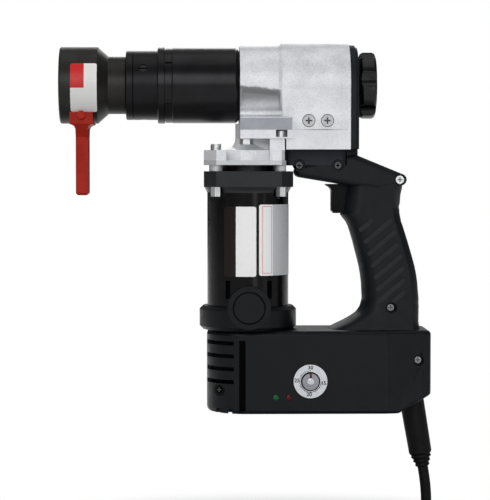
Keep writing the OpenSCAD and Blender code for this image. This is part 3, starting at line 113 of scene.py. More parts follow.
# Power cord. Black rubber mains lead, 9 mm thick, moulded into its guard and ending in a two-pin plug.
# It drops from the guard to the floor, winds inward in one flat layer, climbs and winds out again.
FLOOR_LEVEL = -0.400
CORD_DIAMETER = 0.009
COIL_CENTRE = np.array((0.238, 0.044))
COIL_OUTER_TURN = 0.0655
COIL_TURNS = 3
CLIMB_TURNS = 0.75
POINTS_PER_TURN = 24
NOISE_SPAN = (0.3, 0.7)
GUARD_TIP = (0.302006, 0.0, -0.32426)
LEAD_POINTS = np.array((
    GUARD_TIP, (0.30257, 0.0, -0.32761), (0.3038, 0.0, -0.336), (0.3047, 0.0, -0.345),
    (0.3051, 0.0, -0.354), (0.3051, 0.0015, -0.364), (0.3048, 0.006, -0.374),
    (0.3042, 0.013, -0.383), (0.3035, 0.024, -0.3915), (0.3035, 0.034, -0.3948)))
TAIL_POINTS = np.array((
    (0.250, -0.0216, -0.3877), (0.262, -0.0214, -0.390), (0.268, -0.0212, -0.391),
    (0.276, -0.021, -0.3915), (0.284, -0.021, -0.3915)))


def smooth_step(value, low, high):
    """Nothing up to low, one past high, and a smooth rise in between."""
    share = np.clip((value - low) / (high - low), 0, 1)
    return share * share * (3 - 2 * share)


def coil_points():
    """Two flat spirals about the coil's centre: inward on the floor, a diameter's climb, outward above."""
    whole = 2 * COIL_TURNS + CLIMB_TURNS
    turn = np.linspace(0, whole, int(whole * POINTS_PER_TURN) + 1)
    inward = np.clip(turn, 0, COIL_TURNS)
    outward = np.clip(turn - COIL_TURNS - CLIMB_TURNS, 0, COIL_TURNS)
    radius = COIL_OUTER_TURN + CORD_DIAMETER * (outward - inward)
    angle = 2 * np.pi * turn
    x = COIL_CENTRE[0] + radius * np.cos(angle)
    y = COIL_CENTRE[1] + radius * np.sin(angle)
    z = FLOOR_LEVEL + CORD_DIAMETER * (0.5 + smooth_step(turn, COIL_TURNS, COIL_TURNS + CLIMB_TURNS))
    return np.stack((x, y, z), axis=1)


def wired(owner, kind, feeds, **settings):
    """A new node of a material or the world; feeds gives its inputs values or the outputs of other nodes."""
    tree = owner.node_tree
    node = tree.nodes.new("ShaderNode" + kind)
    for setting, choice in settings.items():
        setattr(node, setting, choice)
    for name, feed_value in feeds.items():
        if isinstance(feed_value, bpy.types.NodeSocket):
            tree.links.new(feed_value, node.inputs[name])
        else:
            node.inputs[name].default_value = feed_value
    return node


def shader_of(material):
    """A material's principled shader."""
    return material.node_tree.nodes["Principled BSDF"]


def place_of(material):
    """The Object coordinates of a material."""
    return material.node_tree.nodes["place"].outputs["Object"]


def feed(material, name, value):
    """Links a node's output to an input of the material's shader."""
    material.node_tree.links.new(value, shader_of(material).inputs[name])


def material_of(name, colour, roughness, metallic=0.0, specular=0.5):
    """A principled finish with one plain colour, ready for patterns laid out in Object coordinates."""
    material = bpy.data.materials.new(name)
    material.use_nodes = True
    inputs = shader_of(material).inputs
    inputs["Base Color"].default_value = (*colour, 1)
    inputs["Roughness"].default_value = roughness
    inputs["Metallic"].default_value = metallic
    inputs["Specular IOR Level"].default_value = specular
    wired(material, "TexCoord", {}, name="place")
    return material


def noise_of(material, size, detail=3.0, stretch=(1, 1, 1)):
    """Noise whose lumps are about size metres across, squeezed along each axis by stretch."""
    mapping = wired(material, "Mapping", {"Vector": place_of(material), "Scale": stretch})
    noise = wired(material, "TexNoise", {
        "Vector": mapping.outputs["Vector"], "Scale": 1 / size, "Detail": detail})
    return noise.outputs["Fac"]


def spread(owner, value, low, high, span=NOISE_SPAN):
    """Carries a value from a span, as a rule the middle of the noise's range, onto low to high."""
    ramp = wired(owner, "MapRange", {
        "Value": value, "From Min": span[0], "From Max": span[1], "To Min": low, "To Max": high})
    return ramp.outputs["Result"]


def tint(material, value, dark, light, span=NOISE_SPAN):
    """A colour from dark to light, by where a value lies in a span."""
    ramp = wired(material, "ValToRGB", {"Fac": value})
    for element, position, colour in zip(ramp.color_ramp.elements, span, (dark, light)):
        element.position = position
        element.color = (*colour, 1)
    return ramp.outputs["Color"]


def relief(material, value, strength, depth):
    """Bumps the surface by a value, depth metres high."""
    bump = wired(material, "Bump", {"Height": value, "Strength": strength, "Distance": depth})
    feed(material, "Normal", bump.outputs["Normal"])


def mounted(piece, body):
    """Names the body that carries a piece."""
    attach(piece, body)


cord_rubber = material_of("cord_rubber", (0.0030, 0.0032, 0.0034), 0.48, specular=0.15)
feed(cord_rubber, "Roughness", spread(cord_rubber, noise_of(cord_rubber, 0.012), 0.44, 0.60))
relief(cord_rubber, noise_of(cord_rubber, 0.0006), 0.25, 0.0001)

cord_route = np.concatenate((LEAD_POINTS, coil_points(), TAIL_POINTS))
cord_curve = bpy.data.curves.new("power_lead", "CURVE")
cord_curve.dimensions = "3D"
cord_curve.bevel_depth = CORD_DIAMETER / 2
cord_curve.bevel_resolution = 5
cord_curve.resolution_u = 4
cord_curve.use_fill_caps = True
cord_spline = cord_curve.splines.new("BEZIER")
cord_spline.bezier_points.add(len(cord_route) - 1)
cord_spline.bezier_points.foreach_set("co", cord_route.ravel())
for cord_point in cord_spline.bezier_points:
    cord_point.handle_left_type = "AUTO"
    cord_point.handle_right_type = "AUTO"
cord_curve.materials.append(cord_rubber)
power_lead = bpy.data.objects.new("power_lead", cord_curve)
scene.collection.objects.link(power_lead)
mounted(power_lead, "tool_body")
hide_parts("power_cord", "cord_coil")

# Floor. A plain pale table top under the cord, running out into the white backdrop round it.
# Camera and mirror rays see plain white further out, while the middle keeps the shadow of the tool.
FLOOR_CENTRE = (0.178, 0.0, cad_bounds[0][2])
FLOOR_RADII = np.array((0.0001, 0.2, 0.4, 0.8, 1.6, 6.0))
FLOOR_STEPS = 64
SHADOW_REACH = 0.24
WHITE_REACH = 0.36
TABLE_PALE = (0.82, 0.82, 0.82)
TABLE_BOUNCE = (0.34, 0.34, 0.34)
# A Mix node's colour sockets share their names with its others, so they go by number.
MIX_BELOW = 6
MIX_ABOVE = 7
MIX_RESULT = 2


def faded(owner, value, start, end):
    """Nothing up to start, one past end, and a smooth rise in between, as a node."""
    rise = wired(owner, "MapRange", {"Value": value, "From Min": start, "From Max": end},
                 interpolation_type="SMOOTHSTEP")
    return rise.outputs["Result"]


def combined(owner, operation, first, second):
    """Two values, each a number or a node's output, joined by one step of arithmetic."""
    return wired(owner, "Math", {0: first, 1: second}, operation=operation).outputs["Value"]


def painted(material, mask, below, above):
    """Paint of one colour over another where a mask is one; the lower may be a node's output."""
    ground = (*below, 1) if isinstance(below, tuple) else below
    mix = wired(material, "Mix", {"Factor": mask, MIX_BELOW: ground, MIX_ABOVE: (*above, 1)},
                data_type="RGBA")
    return mix.outputs[MIX_RESULT]


def polar_grid(rings, steps):
    """Faces between rings of points round an axis: each ring joins the next, each step the step after."""
    ring, step = np.meshgrid(np.arange(rings - 1), np.arange(steps), indexing="ij")
    here = ring * steps + step
    beside = ring * steps + (step + 1) % steps
    return np.stack((here, beside, beside + steps, here + steps), axis=-1).reshape(-1, 4)


def mesh_piece(name, points, faces, material):
    """An object at the origin from an array of points and an array of faces, shaded smooth."""
    mesh = bpy.data.meshes.new(name)
    mesh.from_pydata(points.tolist(), [], faces.tolist())
    mesh.materials.append(material)
    mesh.shade_smooth()
    piece = bpy.data.objects.new(name, mesh)
    scene.collection.objects.link(piece)
    return piece


table_top = material_of("table_top", TABLE_PALE, 0.7, specular=0.1)
table_rays = wired(table_top, "LightPath", {}).outputs
feed(table_top, "Base Color", painted(table_top, table_rays["Is Camera Ray"], TABLE_BOUNCE, TABLE_PALE))
table_radius = wired(table_top, "VectorMath", {0: place_of(table_top), 1: FLOOR_CENTRE}, operation="DISTANCE")
table_seen = combined(table_top, "MAXIMUM", table_rays["Is Camera Ray"], table_rays["Is Glossy Ray"])
table_far = faded(table_top, table_radius.outputs["Value"], SHADOW_REACH, WHITE_REACH)
table_mix = wired(table_top, "MixShader", {
    "Fac": combined(table_top, "MULTIPLY", table_far, table_seen),
    1: shader_of(table_top).outputs["BSDF"],
    2: wired(table_top, "Emission", {}).outputs["Emission"]})
table_top.node_tree.links.new(
    table_mix.outputs["Shader"], table_top.node_tree.nodes["Material Output"].inputs["Surface"])

floor_angles = np.linspace(0, 2 * np.pi, FLOOR_STEPS, endpoint=False)
floor_points = np.stack((
    FLOOR_CENTRE[0] + np.outer(FLOOR_RADII, np.cos(floor_angles)),
    FLOOR_CENTRE[1] + np.outer(FLOOR_RADII, np.sin(floor_angles)),
    np.full((len(FLOOR_RADII), FLOOR_STEPS), FLOOR_CENTRE[2])), axis=-1).reshape(-1, 3)
floor = mesh_piece("floor", floor_points, polar_grid(len(FLOOR_RADII), FLOOR_STEPS)[:, ::-1], table_top)

# Studio light. White all round for the camera, brighter overhead and in front than at the sides for mirror
# rays, and a plain level for the rest. Large soft lamps draw the bands along the barrel and the motor.
ROOM_LEVEL = 0.55
EYE_LEVEL_GLOSS = 0.02
OVERHEAD_GLOSS = 0.30
OVERHEAD_SPAN = (0.05, 0.85)
FRONT_GLOSS = 0.20
FRONT_SPAN = (-0.35, -1.0)
TOOL_MIDDLE = (0.15, 0, -0.1)
GRIP_MIDDLE = (0.2, 0, -0.15)

studio = bpy.data.worlds.new("studio")
scene.world = studio
studio.use_nodes = True
studio_rays = wired(studio, "LightPath", {}).outputs
studio_place = wired(studio, "TexCoord", {}).outputs["Generated"]
studio_way = wired(studio, "SeparateXYZ", {"Vector": studio_place}).outputs
overhead_gloss = spread(studio, studio_way["Z"], EYE_LEVEL_GLOSS, OVERHEAD_GLOSS, OVERHEAD_SPAN)
front_gloss = combined(studio, "MULTIPLY", faded(studio, studio_way["Y"], *FRONT_SPAN), FRONT_GLOSS)
studio_gloss = wired(studio, "Mix", {
    "Factor": studio_rays["Is Glossy Ray"], "A": 1.0,
    "B": combined(studio, "MAXIMUM", overhead_gloss, front_gloss)})
studio_level = wired(studio, "Mix", {
    "Factor": studio_rays["Is Diffuse Ray"], "A": studio_gloss.outputs["Result"], "B": ROOM_LEVEL})
studio_white = studio.node_tree.nodes["Background"].inputs
studio_white["Color"].default_value = (1, 1, 1, 1)
studio.node_tree.links.new(studio_level.outputs["Result"], studio_white["Strength"])


def soft_lamp(name, place, target, width, height, watts):
    """A rectangular soft lamp at a place, turned towards a target."""
    lamp_data = bpy.data.lights.new(name, "AREA")
    lamp_data.shape = "RECTANGLE"
    lamp_data.size = width
    lamp_data.size_y = height
    lamp_data.energy = watts
    lamp = bpy.data.objects.new(name, lamp_data)
    lamp.location = place
    lamp.rotation_euler = (Vector(target) - Vector(place)).to_track_quat("-Z", "Y").to_euler()
    scene.collection.objects.link(lamp)


soft_lamp("front_lamp", (-0.25, -1.60, 0.52), TOOL_MIDDLE, width=1.20, height=0.90, watts=11.0)
soft_lamp("top_lamp", (0.15, -0.1, 1.35), TOOL_MIDDLE, width=1.6, height=1.0, watts=4.0)
soft_lamp("right_lamp", (1.35, -1.15, 0.1), TOOL_MIDDLE, width=0.10, height=1.1, watts=0.9)
soft_lamp("side_lamp", (0.70, -1.60, -0.15), GRIP_MIDDLE, width=0.30, height=0.90, watts=2.2)
soft_lamp("back_lamp", (0.2, 1.6, 0.7), TOOL_MIDDLE, width=1.2, height=0.6, watts=6.0)

# Reaction ring and hub. A turned steel ring takes the socket, and the hub behind it turns in the collar.
# Both are blackened, with the lathe's fine rings left in the surface.
EDGE_ANGLE = math.radians(32)
FLAT_ANGLE = math.radians(0.4)
MERGE_DISTANCE = 1e-6


def edged(node, material, width, segments=2):
    """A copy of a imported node: triangles joined into flat faces, edges rounded by width, even shading."""
    source = frame["nodes"][node]
    mesh = source.data.copy()
    shape = bmesh.new()
    shape.from_mesh(mesh)
    bmesh.ops.remove_doubles(shape, verts=shape.verts, dist=MERGE_DISTANCE)
    bmesh.ops.dissolve_limit(shape, angle_limit=FLAT_ANGLE, verts=shape.verts, edges=shape.edges)
    shape.to_mesh(mesh)
    shape.free()
    mesh.materials.clear()
    mesh.materials.append(material)
    mesh.shade_smooth()
    mesh.set_sharp_from_angle(angle=EDGE_ANGLE)
    piece = bpy.data.objects.new(node + "_edged", mesh)
    scene.collection.objects.link(piece)
    bevel = piece.modifiers.new("rounded_edges", "BEVEL")
    bevel.width = width
    bevel.segments = segments
    bevel.limit_method = "ANGLE"
    bevel.angle_limit = EDGE_ANGLE
    shading = piece.modifiers.new("even_shading", "WEIGHTED_NORMAL")
    shading.keep_sharp = True
    mounted(piece, source["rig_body"])
    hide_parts(node)
    return piece


def turned_steel(name, dark, light, roughness, specular=0.3):
    """Blackened steel turned about X: fine rings in its gloss and height, and slow patches in its colour."""
    steel = material_of(name, light, roughness, 0.55, specular)
    rings = noise_of(steel, 0.0005, 2.0, stretch=(1, 0.01, 0.01))
    feed(steel, "Base Color", tint(steel, noise_of(steel, 0.014, 4.0), dark, light))
    feed(steel, "Roughness", spread(steel, rings, roughness - 0.01, roughness + 0.02))
    relief(steel, rings, 0.02, 0.00004)
    return steel


hub_steel = turned_steel("hub_steel", (0.014, 0.0135, 0.0125), (0.022, 0.021, 0.019), 0.42, 0.35)
edged("reaction_ring", hub_steel, width=0.0005)
edged("reaction_hub", hub_steel, width=0.0005)

# Hub plate. A thin glossy film wraps the near side of the reaction ring.
# It is two-coloured: a red block in the upper corner and white for the rest.
HUB_RADIUS = 0.0323
PLATE_LIFT = 0.00025
HUB_PLATE_X = (0.0040, 0.0260)
HUB_PLATE_ANGLES = np.radians((-44.9, 31.8))
HUB_PLATE_CORNER = 0.0016
HUB_BLOCK_X = (0.0, 0.0153)
HUB_BLOCK_Z = (-0.0033, HUB_RADIUS)
HUB_WHITE = (0.72, 0.72, 0.71)
HUB_RED = (0.54, 0.016, 0.016)
INNERMOST_RING = 0.001
TINY = 1e-9


def rounded_sheet(width, height, corner, rings=32, steps=240):
    """Points and faces of a flat rounded rectangle about 0, 0: its outline drawn in to the middle by rings.
    Rays from the middle meet the sharp rectangle, and points further than the corner radius from the smaller
    rectangle inside it, which lies that radius further in, are pulled back to that distance."""
    angle = np.linspace(0, 2 * np.pi, steps, endpoint=False)
    half = np.array((width, height)) / 2
    ray = np.stack((np.cos(angle), np.sin(angle)), axis=1)
    reach = half / np.maximum(np.abs(ray), TINY)
    straight = ray * reach.min(axis=1, keepdims=True)
    nearest = np.clip(straight, corner - half, half - corner)
    away = straight - nearest
    length = np.linalg.norm(away, axis=1, keepdims=True)
    outline = np.where(length > corner, nearest + away * corner / np.maximum(length, TINY), straight)
    shrink = np.linspace(1, INNERMOST_RING, rings)
    points = shrink[:, None, None] * outline[None]
    return points.reshape(-1, 2), polar_grid(rings, steps)


def inside(material, axis, low, high):
    """One where a coordinate lies between low and high metres, and nothing elsewhere."""
    split = wired(material, "SeparateXYZ", {"Vector": place_of(material)})
    compare = wired(material, "Math", {0: split.outputs[axis], 1: (low + high) / 2, 2: (high - low) / 2},
                    operation="COMPARE")
    return compare.outputs["Value"]


def block_mask(material, across, up):
    """One in a rectangle, from a pair of X and a pair of Z, and nothing elsewhere."""
    return combined(material, "MULTIPLY", inside(material, "X", *across), inside(material, "Z", *up))


hub_film = material_of("hub_film", HUB_WHITE, 0.34, specular=0.25)
hub_block = block_mask(hub_film, HUB_BLOCK_X, HUB_BLOCK_Z)
feed(hub_film, "Base Color", painted(hub_film, hub_block, HUB_WHITE, HUB_RED))
feed(hub_film, "Roughness", spread(hub_film, noise_of(hub_film, 0.003, 4.0), 0.28, 0.42))
hub_sheet, hub_sheet_faces = rounded_sheet(
    np.ptp(HUB_PLATE_X), np.ptp(HUB_PLATE_ANGLES) * HUB_RADIUS, HUB_PLATE_CORNER)
hub_sheet_turn = hub_sheet[:, 1] / HUB_RADIUS + np.mean(HUB_PLATE_ANGLES)
hub_sheet_points = np.stack((
    hub_sheet[:, 0] + np.mean(HUB_PLATE_X),
    -(HUB_RADIUS + PLATE_LIFT) * np.cos(hub_sheet_turn),
    (HUB_RADIUS + PLATE_LIFT) * np.sin(hub_sheet_turn)), axis=1)
hub_plate = mesh_piece("hub_plate", hub_sheet_points, hub_sheet_faces, hub_film)
mounted(hub_plate, "reaction_head")

# Reaction arm. A forged bar with a saddle that two bolts hold to the ring, painted in red enamel.
# The paint has a faint orange peel, and the bolts' heads are painted over with it.
red_enamel = material_of("red_enamel", (0.36, 0.020, 0.011), 0.46, specular=0.08)
feed(red_enamel, "Base Color", tint(
    red_enamel, noise_of(red_enamel, 0.010, 4.0), (0.31, 0.016, 0.009), (0.39, 0.023, 0.013)))
feed(red_enamel, "Roughness", spread(red_enamel, noise_of(red_enamel, 0.004), 0.36, 0.52))
relief(red_enamel, noise_of(red_enamel, 0.0012), 0.25, 0.0001)
edged("reaction_arm", red_enamel, width=0.0009, segments=3)
edged("arm_bolts", red_enamel, width=0.0005)

# Output spindle. The square drive and its carrier, ground bright, seen inside the reaction ring.
# The planet gears, their carriers and shafts behind it are of the same ground steel.
TRAIN_NODES = (
    "ring_gear", "gear_bearings", "first_carrier", "input_shaft", "bevel_gear", "bevel_pinion",
    "motor_bearings", "final_planet_1", "final_planet_2", "final_planet_3",
    "first_planet_1", "first_planet_2", "first_planet_3")


def shaded(colour, share):
    """A colour made darker or lighter by a share."""
    return tuple(share * part for part in colour)


def ground_steel(name, colour, roughness, metallic=1.0):
    """Bright metal with a fine ground grain: short scratches in its gloss and height."""
    steel = material_of(name, colour, roughness, metallic)
    grain = noise_of(steel, 0.0008, stretch=(0.15, 1, 1))
    feed(steel, "Base Color", tint(steel, noise_of(steel, 0.009, 4.0), shaded(colour, 0.86), colour))
    feed(steel, "Roughness", spread(steel, grain, roughness - 0.06, roughness + 0.10))
    relief(steel, grain, 0.15, 0.00003)
    return steel


def coat(material, *nodes):
    """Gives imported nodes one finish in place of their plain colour."""
    for node in nodes:
        frame["nodes"][node].material_slots[0].material = material


bright_steel = ground_steel("bright_steel", (0.55, 0.56, 0.57), 0.30)
edged("output_spindle", bright_steel, width=0.0003)
coat(bright_steel, *TRAIN_NODES)

# Collar, ring nut and gear barrel. Turned steel, blackened and oiled, so shinier than the hub.
# Slotted lock screws sit in the collar, and the nut has notches for a hook spanner.
HEAD_TOLERANCE = 0.0002


def finish_faces(piece, material, chosen):
    """One more finish, on the faces of a piece that an array of true and false picks."""
    piece.data.materials.append(material)
    finishes = np.empty(len(piece.data.polygons), np.int32)
    piece.data.polygons.foreach_get("material_index", finishes)
    finishes[chosen] = len(piece.data.materials) - 1
    piece.data.polygons.foreach_set("material_index", finishes)


def face_values(piece, name):
    """The center or the normal of each of a piece's faces, as an array of points."""
    values = np.empty(len(piece.data.polygons) * 3)
    piece.data.polygons.foreach_get(name, values)
    return values.reshape(-1, 3)


def face_solids(piece):
    """A number for each face that tells its solid: the lowest corner that the face's edges lead to."""
    mesh = piece.data
    ends = np.empty(len(mesh.edges) * 2, np.int32)
    mesh.edges.foreach_get("vertices", ends)
    first, second = ends.reshape(-1, 2).T
    lowest = np.arange(len(mesh.vertices))
    settled = False
    while not settled:
        before = lowest.copy()
        pair = np.minimum(lowest[first], lowest[second])
        np.minimum.at(lowest, first, pair)
        np.minimum.at(lowest, second, pair)
        settled = np.array_equal(before, lowest)
    starts = np.empty(len(mesh.polygons), np.int32)
    corners = np.empty(len(mesh.loops), np.int32)
    mesh.polygons.foreach_get("loop_start", starts)
    mesh.loops.foreach_get("vertex_index", corners)
    return lowest[corners[starts]]


def below_heads(piece, heights):
    """True for the faces of each screw that lie deeper than its head's own top face."""
    solids = face_solids(piece)
    tops = np.zeros(len(piece.data.vertices))
    np.maximum.at(tops, solids, heights)
    return heights < tops[solids] - HEAD_TOLERANCE


barrel_steel = turned_steel("barrel_steel", (0.007, 0.007, 0.008), (0.012, 0.012, 0.0135), 0.25)
collar_steel = turned_steel("collar_steel", (0.006, 0.006, 0.007), (0.010, 0.010, 0.0115), 0.34, 0.25)
dark_steel = ground_steel("dark_steel", (0.035, 0.035, 0.037), 0.40, 0.8)
# Painted shade: a near-black with a slight mottle, for slots, holes, grooves, gaps and walls where shade
# falls.
recess_shade = material_of("recess_shade", (0.0012, 0.0012, 0.0013), 0.8, specular=0.03)
feed(recess_shade, "Base Color", tint(
    recess_shade, noise_of(recess_shade, 0.004), (0.0009, 0.0009, 0.0010), (0.0015, 0.0015, 0.0016)))
edged("front_collar", collar_steel, width=0.0003)
lock_screws = edged("lock_screws", dark_steel, width=0.0002)
lock_radii = np.linalg.norm(face_values(lock_screws, "center")[:, 1:], axis=1)
# The slots below the lock screws' heads are painted shade.
finish_faces(lock_screws, recess_shade, below_heads(lock_screws, lock_radii))
edged("ring_nut", barrel_steel, width=0.0003)
edged("gear_barrel", barrel_steel, width=0.0004)

# Gear case. An upper and a lower alloy casting, shot-blasted to a fine grain with a few small pits.
# The neck of the lower one is machined bright, and so is the bare pad above the joint.
# The boss is hollowed a little below a slanting line on its flanks, and painted shade darkens the hollow
# there.
GRAIN_SHARE = 0.5
SHADE_SPAN = (0.36, 0.60)
PITS_PER_METRE = 260
PIT_SPAN = (0.10, 0.16)
PIT_STRENGTH = 0.35
PAD_FACE = 0.0362
PAD_NORMAL = 0.99
MOTOR_X = 0.1524
NECK_RADIUS = 0.0224
NECK_HEIGHTS = (-0.0640, -0.0453)
BOSS_RADIUS = 0.0332
SKIN_TOLERANCE = 0.0002
# The colour of the painted shade in the boss's hollow.
HOLLOW_SHADE = (0.17, 0.174, 0.182)
HOLLOW_X = (0.1450, 0.1805)
HOLLOW_Z = (-0.0225, -0.0010)
HOLLOW_CUTS = (12, 18)
HOLLOW_SLANT = 0.103
HOLLOW_DEPTH = 0.0026
HOLLOW_DROP = 0.007
HOLLOW_LIP_Z = -0.013
HOLLOW_FADE_X = 0.1740
DARK_SHARE = 0.85
DARK_RAGGED = 0.004
DARK_EDGE = (0.0008, -0.0012)
DARK_FULL_X = 0.1775
DARK_FULL_Z = -0.0080


def cast_alloy(name, dark, light, roughness):
    """Shot-blasted casting: sand-fine grain in its height, slow patches and scattered pits in its colour."""
    alloy = material_of(name, light, roughness, metallic=0.45)
    grain = noise_of(alloy, 0.0016, 5.0)
    patches = noise_of(alloy, 0.016, 5.0)
    pits = wired(alloy, "TexVoronoi", {"Vector": place_of(alloy), "Scale": PITS_PER_METRE})
    pit_mask = spread(alloy, pits.outputs["Distance"], PIT_STRENGTH, 0.0, PIT_SPAN)
    mottle = wired(alloy, "Mix", {"Factor": GRAIN_SHARE, "A": patches, "B": grain})
    skin = tint(alloy, mottle.outputs["Result"], dark, light, SHADE_SPAN)
    feed(alloy, "Base Color", painted(alloy, pit_mask, skin, shaded(dark, 0.7)))
    feed(alloy, "Roughness", spread(alloy, grain, roughness - 0.08, roughness + 0.10))
    relief(alloy, grain, 0.5, 0.00012)
    return alloy


def paint_hollow_shade(alloy):
    """Paints shade into a casting's colour in the hollow, darkest under its slanting, ragged top line and
    less below.
    """
    place = wired(alloy, "SeparateXYZ", {"Vector": place_of(alloy)}).outputs
    slant = wired(alloy, "Math", {0: place["X"], 1: HOLLOW_SLANT, 2: place["Z"]}, operation="MULTIPLY_ADD")
    ragged = wired(alloy, "Math", {0: noise_of(alloy, 0.005, 4.0), 1: DARK_RAGGED, 2: slant.outputs["Value"]},
                   operation="MULTIPLY_ADD")
    top_line = HOLLOW_Z[1] + HOLLOW_SLANT * HOLLOW_X[0] + DARK_RAGGED / 2
    under_top = faded(alloy, ragged.outputs["Value"], top_line + DARK_EDGE[0], top_line + DARK_EDGE[1])
    above_lip = faded(alloy, place["Z"], HOLLOW_Z[0], DARK_FULL_Z)
    before_case = faded(alloy, place["X"], HOLLOW_X[1], DARK_FULL_X)
    mask = DARK_SHARE
    for limit in (under_top, above_lip, before_case):
        mask = combined(alloy, "MULTIPLY", mask, limit)
    skin = shader_of(alloy).inputs["Base Color"].links[0].from_socket
    feed(alloy, "Base Color", painted(alloy, mask, skin, HOLLOW_SHADE))


def cut_edges(piece, cuts):
    """Adds edges to a piece where planes cut it, each given by a point and a normal."""
    shape = bmesh.new()
    shape.from_mesh(piece.data)
    for point, normal in cuts:
        bmesh.ops.bisect_plane(shape, geom=shape.verts[:] + shape.edges[:] + shape.faces[:],
                               dist=MERGE_DISTANCE, plane_co=point, plane_no=normal)
    shape.to_mesh(piece.data)
    shape.free()


def corner_points(mesh):
    """The corners of a mesh as an array of points."""
    points = np.empty(len(mesh.vertices) * 3)
    mesh.vertices.foreach_get("co", points)
    return points.reshape(-1, 3)


def move_corners(piece, points):
    """Puts the corners of a piece at an array of points, and looks for its sharp edges again."""
    piece.data.vertices.foreach_set("co", points.ravel())
    piece.data.set_sharp_from_angle(angle=EDGE_ANGLE)


def cast_hollow(piece):
    """Sinks the boss's lower flanks: the radius drops by a depth, times a smooth rise below the slanting
    top line, times a fade towards the lip and a fade towards the case."""
    cuts = [((x, 0, 0), (1, 0, 0)) for x in np.linspace(*HOLLOW_X, HOLLOW_CUTS[0])]
    cuts += [((0, 0, z), (0, 0, 1)) for z in np.linspace(*HOLLOW_Z, HOLLOW_CUTS[1])]
    cut_edges(piece, cuts)
    points = corner_points(piece.data)
    x, y, z = points.T
    radius = np.hypot(y, z)
    on_skin = (np.abs(radius - BOSS_RADIUS) < SKIN_TOLERANCE) & (x > HOLLOW_X[0])
    below_top = HOLLOW_Z[1] - HOLLOW_SLANT * (x - HOLLOW_X[0]) - z
    hump = smooth_step(below_top, 0, HOLLOW_DROP) * smooth_step(z, HOLLOW_Z[0], HOLLOW_LIP_Z)
    fade = 1 - smooth_step(x, HOLLOW_FADE_X, HOLLOW_X[1])
    sunk = np.where(on_skin, HOLLOW_DEPTH * hump * fade, 0)
    points[:, 1:] *= (1 - sunk / np.maximum(radius, BOSS_RADIUS / 2))[:, None]
    move_corners(piece, points)


blasted_alloy = cast_alloy("blasted_alloy", (0.62, 0.635, 0.66), (0.74, 0.755, 0.785), 0.48)
case_alloy = cast_alloy("case_alloy", (0.55, 0.565, 0.585), (0.76, 0.775, 0.805), 0.50)
# Painted shade in the boss's hollow.
paint_hollow_shade(case_alloy)
milled_alloy = ground_steel("milled_alloy", (0.30, 0.315, 0.345), 0.38, 0.6)
turned_alloy = ground_steel("turned_alloy", (0.90, 0.92, 0.94), 0.30, 0.1)
gear_case = edged("gear_case", case_alloy, width=0.0008, segments=3)
cast_hollow(gear_case)
on_pad = np.abs(face_values(gear_case, "center")[:, 1]) > PAD_FACE
faces_sideways = np.abs(face_values(gear_case, "normal")[:, 1]) > PAD_NORMAL
finish_faces(gear_case, milled_alloy, on_pad & faces_sideways)
pinion_housing = edged("pinion_housing", blasted_alloy, width=0.0006)
housing_x, housing_y, housing_z = face_values(pinion_housing, "center").T
near_axis = np.hypot(housing_x - MOTOR_X, housing_y) < NECK_RADIUS
at_neck = (housing_z > NECK_HEIGHTS[0]) & (housing_z < NECK_HEIGHTS[1])
finish_faces(pinion_housing, turned_alloy, near_axis & at_neck)

# Case joint. A thin dark gasket shows as a line between the two castings, on both sides of the block.
# It is a strip of paper trimmed flush with the castings.
GASKET_X = (0.1894, 0.2366)
GASKET_Z = -0.0380
GASKET_HEIGHT = 0.00045
CASE_SIDE = 0.0350
TRIM_LIFT = PLATE_LIFT / 3
SIDES = (("_right", -1), ("_left", 1))


def moulded_plastic(name, colour, roughness, grain_depth, specular=0.18):
    """Moulded plastic: a fine spark-eroded grain in its height, and slow changes in its colour and gloss."""
    plastic = material_of(name, colour, roughness, specular=specular)
    patches = noise_of(plastic, 0.020, 5.0)
    feed(plastic, "Base Color", tint(plastic, patches, shaded(colour, 0.85), shaded(colour, 1.2)))
    feed(plastic, "Roughness", spread(
        plastic, noise_of(plastic, 0.009, 4.0), roughness - 0.06, roughness + 0.08))
    relief(plastic, noise_of(plastic, 0.0005, 2.0), 0.35, grain_depth)
    return plastic


gasket_paper = moulded_plastic("gasket_paper", (0.035, 0.036, 0.038), 0.7, 0.00002)
gasket_sheet, gasket_faces = rounded_sheet(
    np.ptp(GASKET_X), GASKET_HEIGHT, GASKET_HEIGHT / 3, rings=6, steps=96)
for side_name, side in SIDES:
    gasket_points = np.stack((
        gasket_sheet[:, 0] + np.mean(GASKET_X),
        np.full(len(gasket_sheet), side * (CASE_SIDE + TRIM_LIFT)),
        gasket_sheet[:, 1] + GASKET_Z), axis=1)
    gasket = mesh_piece("case_gasket" + side_name, gasket_points, gasket_faces[:, ::-side], gasket_paper)
    mounted(gasket, "tool_body")

# Case fasteners. Zinc-plated countersunk screws beside the joint, and hexagon and cap bolts below it.
# The plating is pale with a faint cloudiness; painted shadow darkens the drive recesses, and a thin ring of
# it circles each countersunk head.
CASE_SCREWS = ((0.2022, -0.0304), (0.2177, -0.0304))
CASE_SCREW_RADIUS = 0.0050
RIM_WIDTH = 0.00042


def turned_piece(name, centre, profile, material, body, steps=96):
    """A profile of radius and depth turned about an axis along Y, so that each point becomes a ring."""
    angle = np.linspace(0, 2 * np.pi, steps, endpoint=False)
    radius, depth = np.array(profile).T
    points = np.stack((
        centre[0] + np.outer(radius, np.cos(angle)),
        np.repeat(depth[:, None], steps, axis=1),
        centre[1] + np.outer(radius, np.sin(angle))), axis=-1).reshape(-1, 3)
    piece = mesh_piece(name, points, polar_grid(len(profile), steps), material)
    mounted(piece, body)


def shadow_rings(name, centre, inner, width, face):
    """A thin ring of painted shadow on the near face and one on the far face, from a radius outward by a
    width.
    """
    for side_name, side in SIDES:
        profile = ((inner, side * face), (inner + width, side * face))[::side]
        turned_piece(name + side_name, centre, profile, recess_shade, "tool_body")


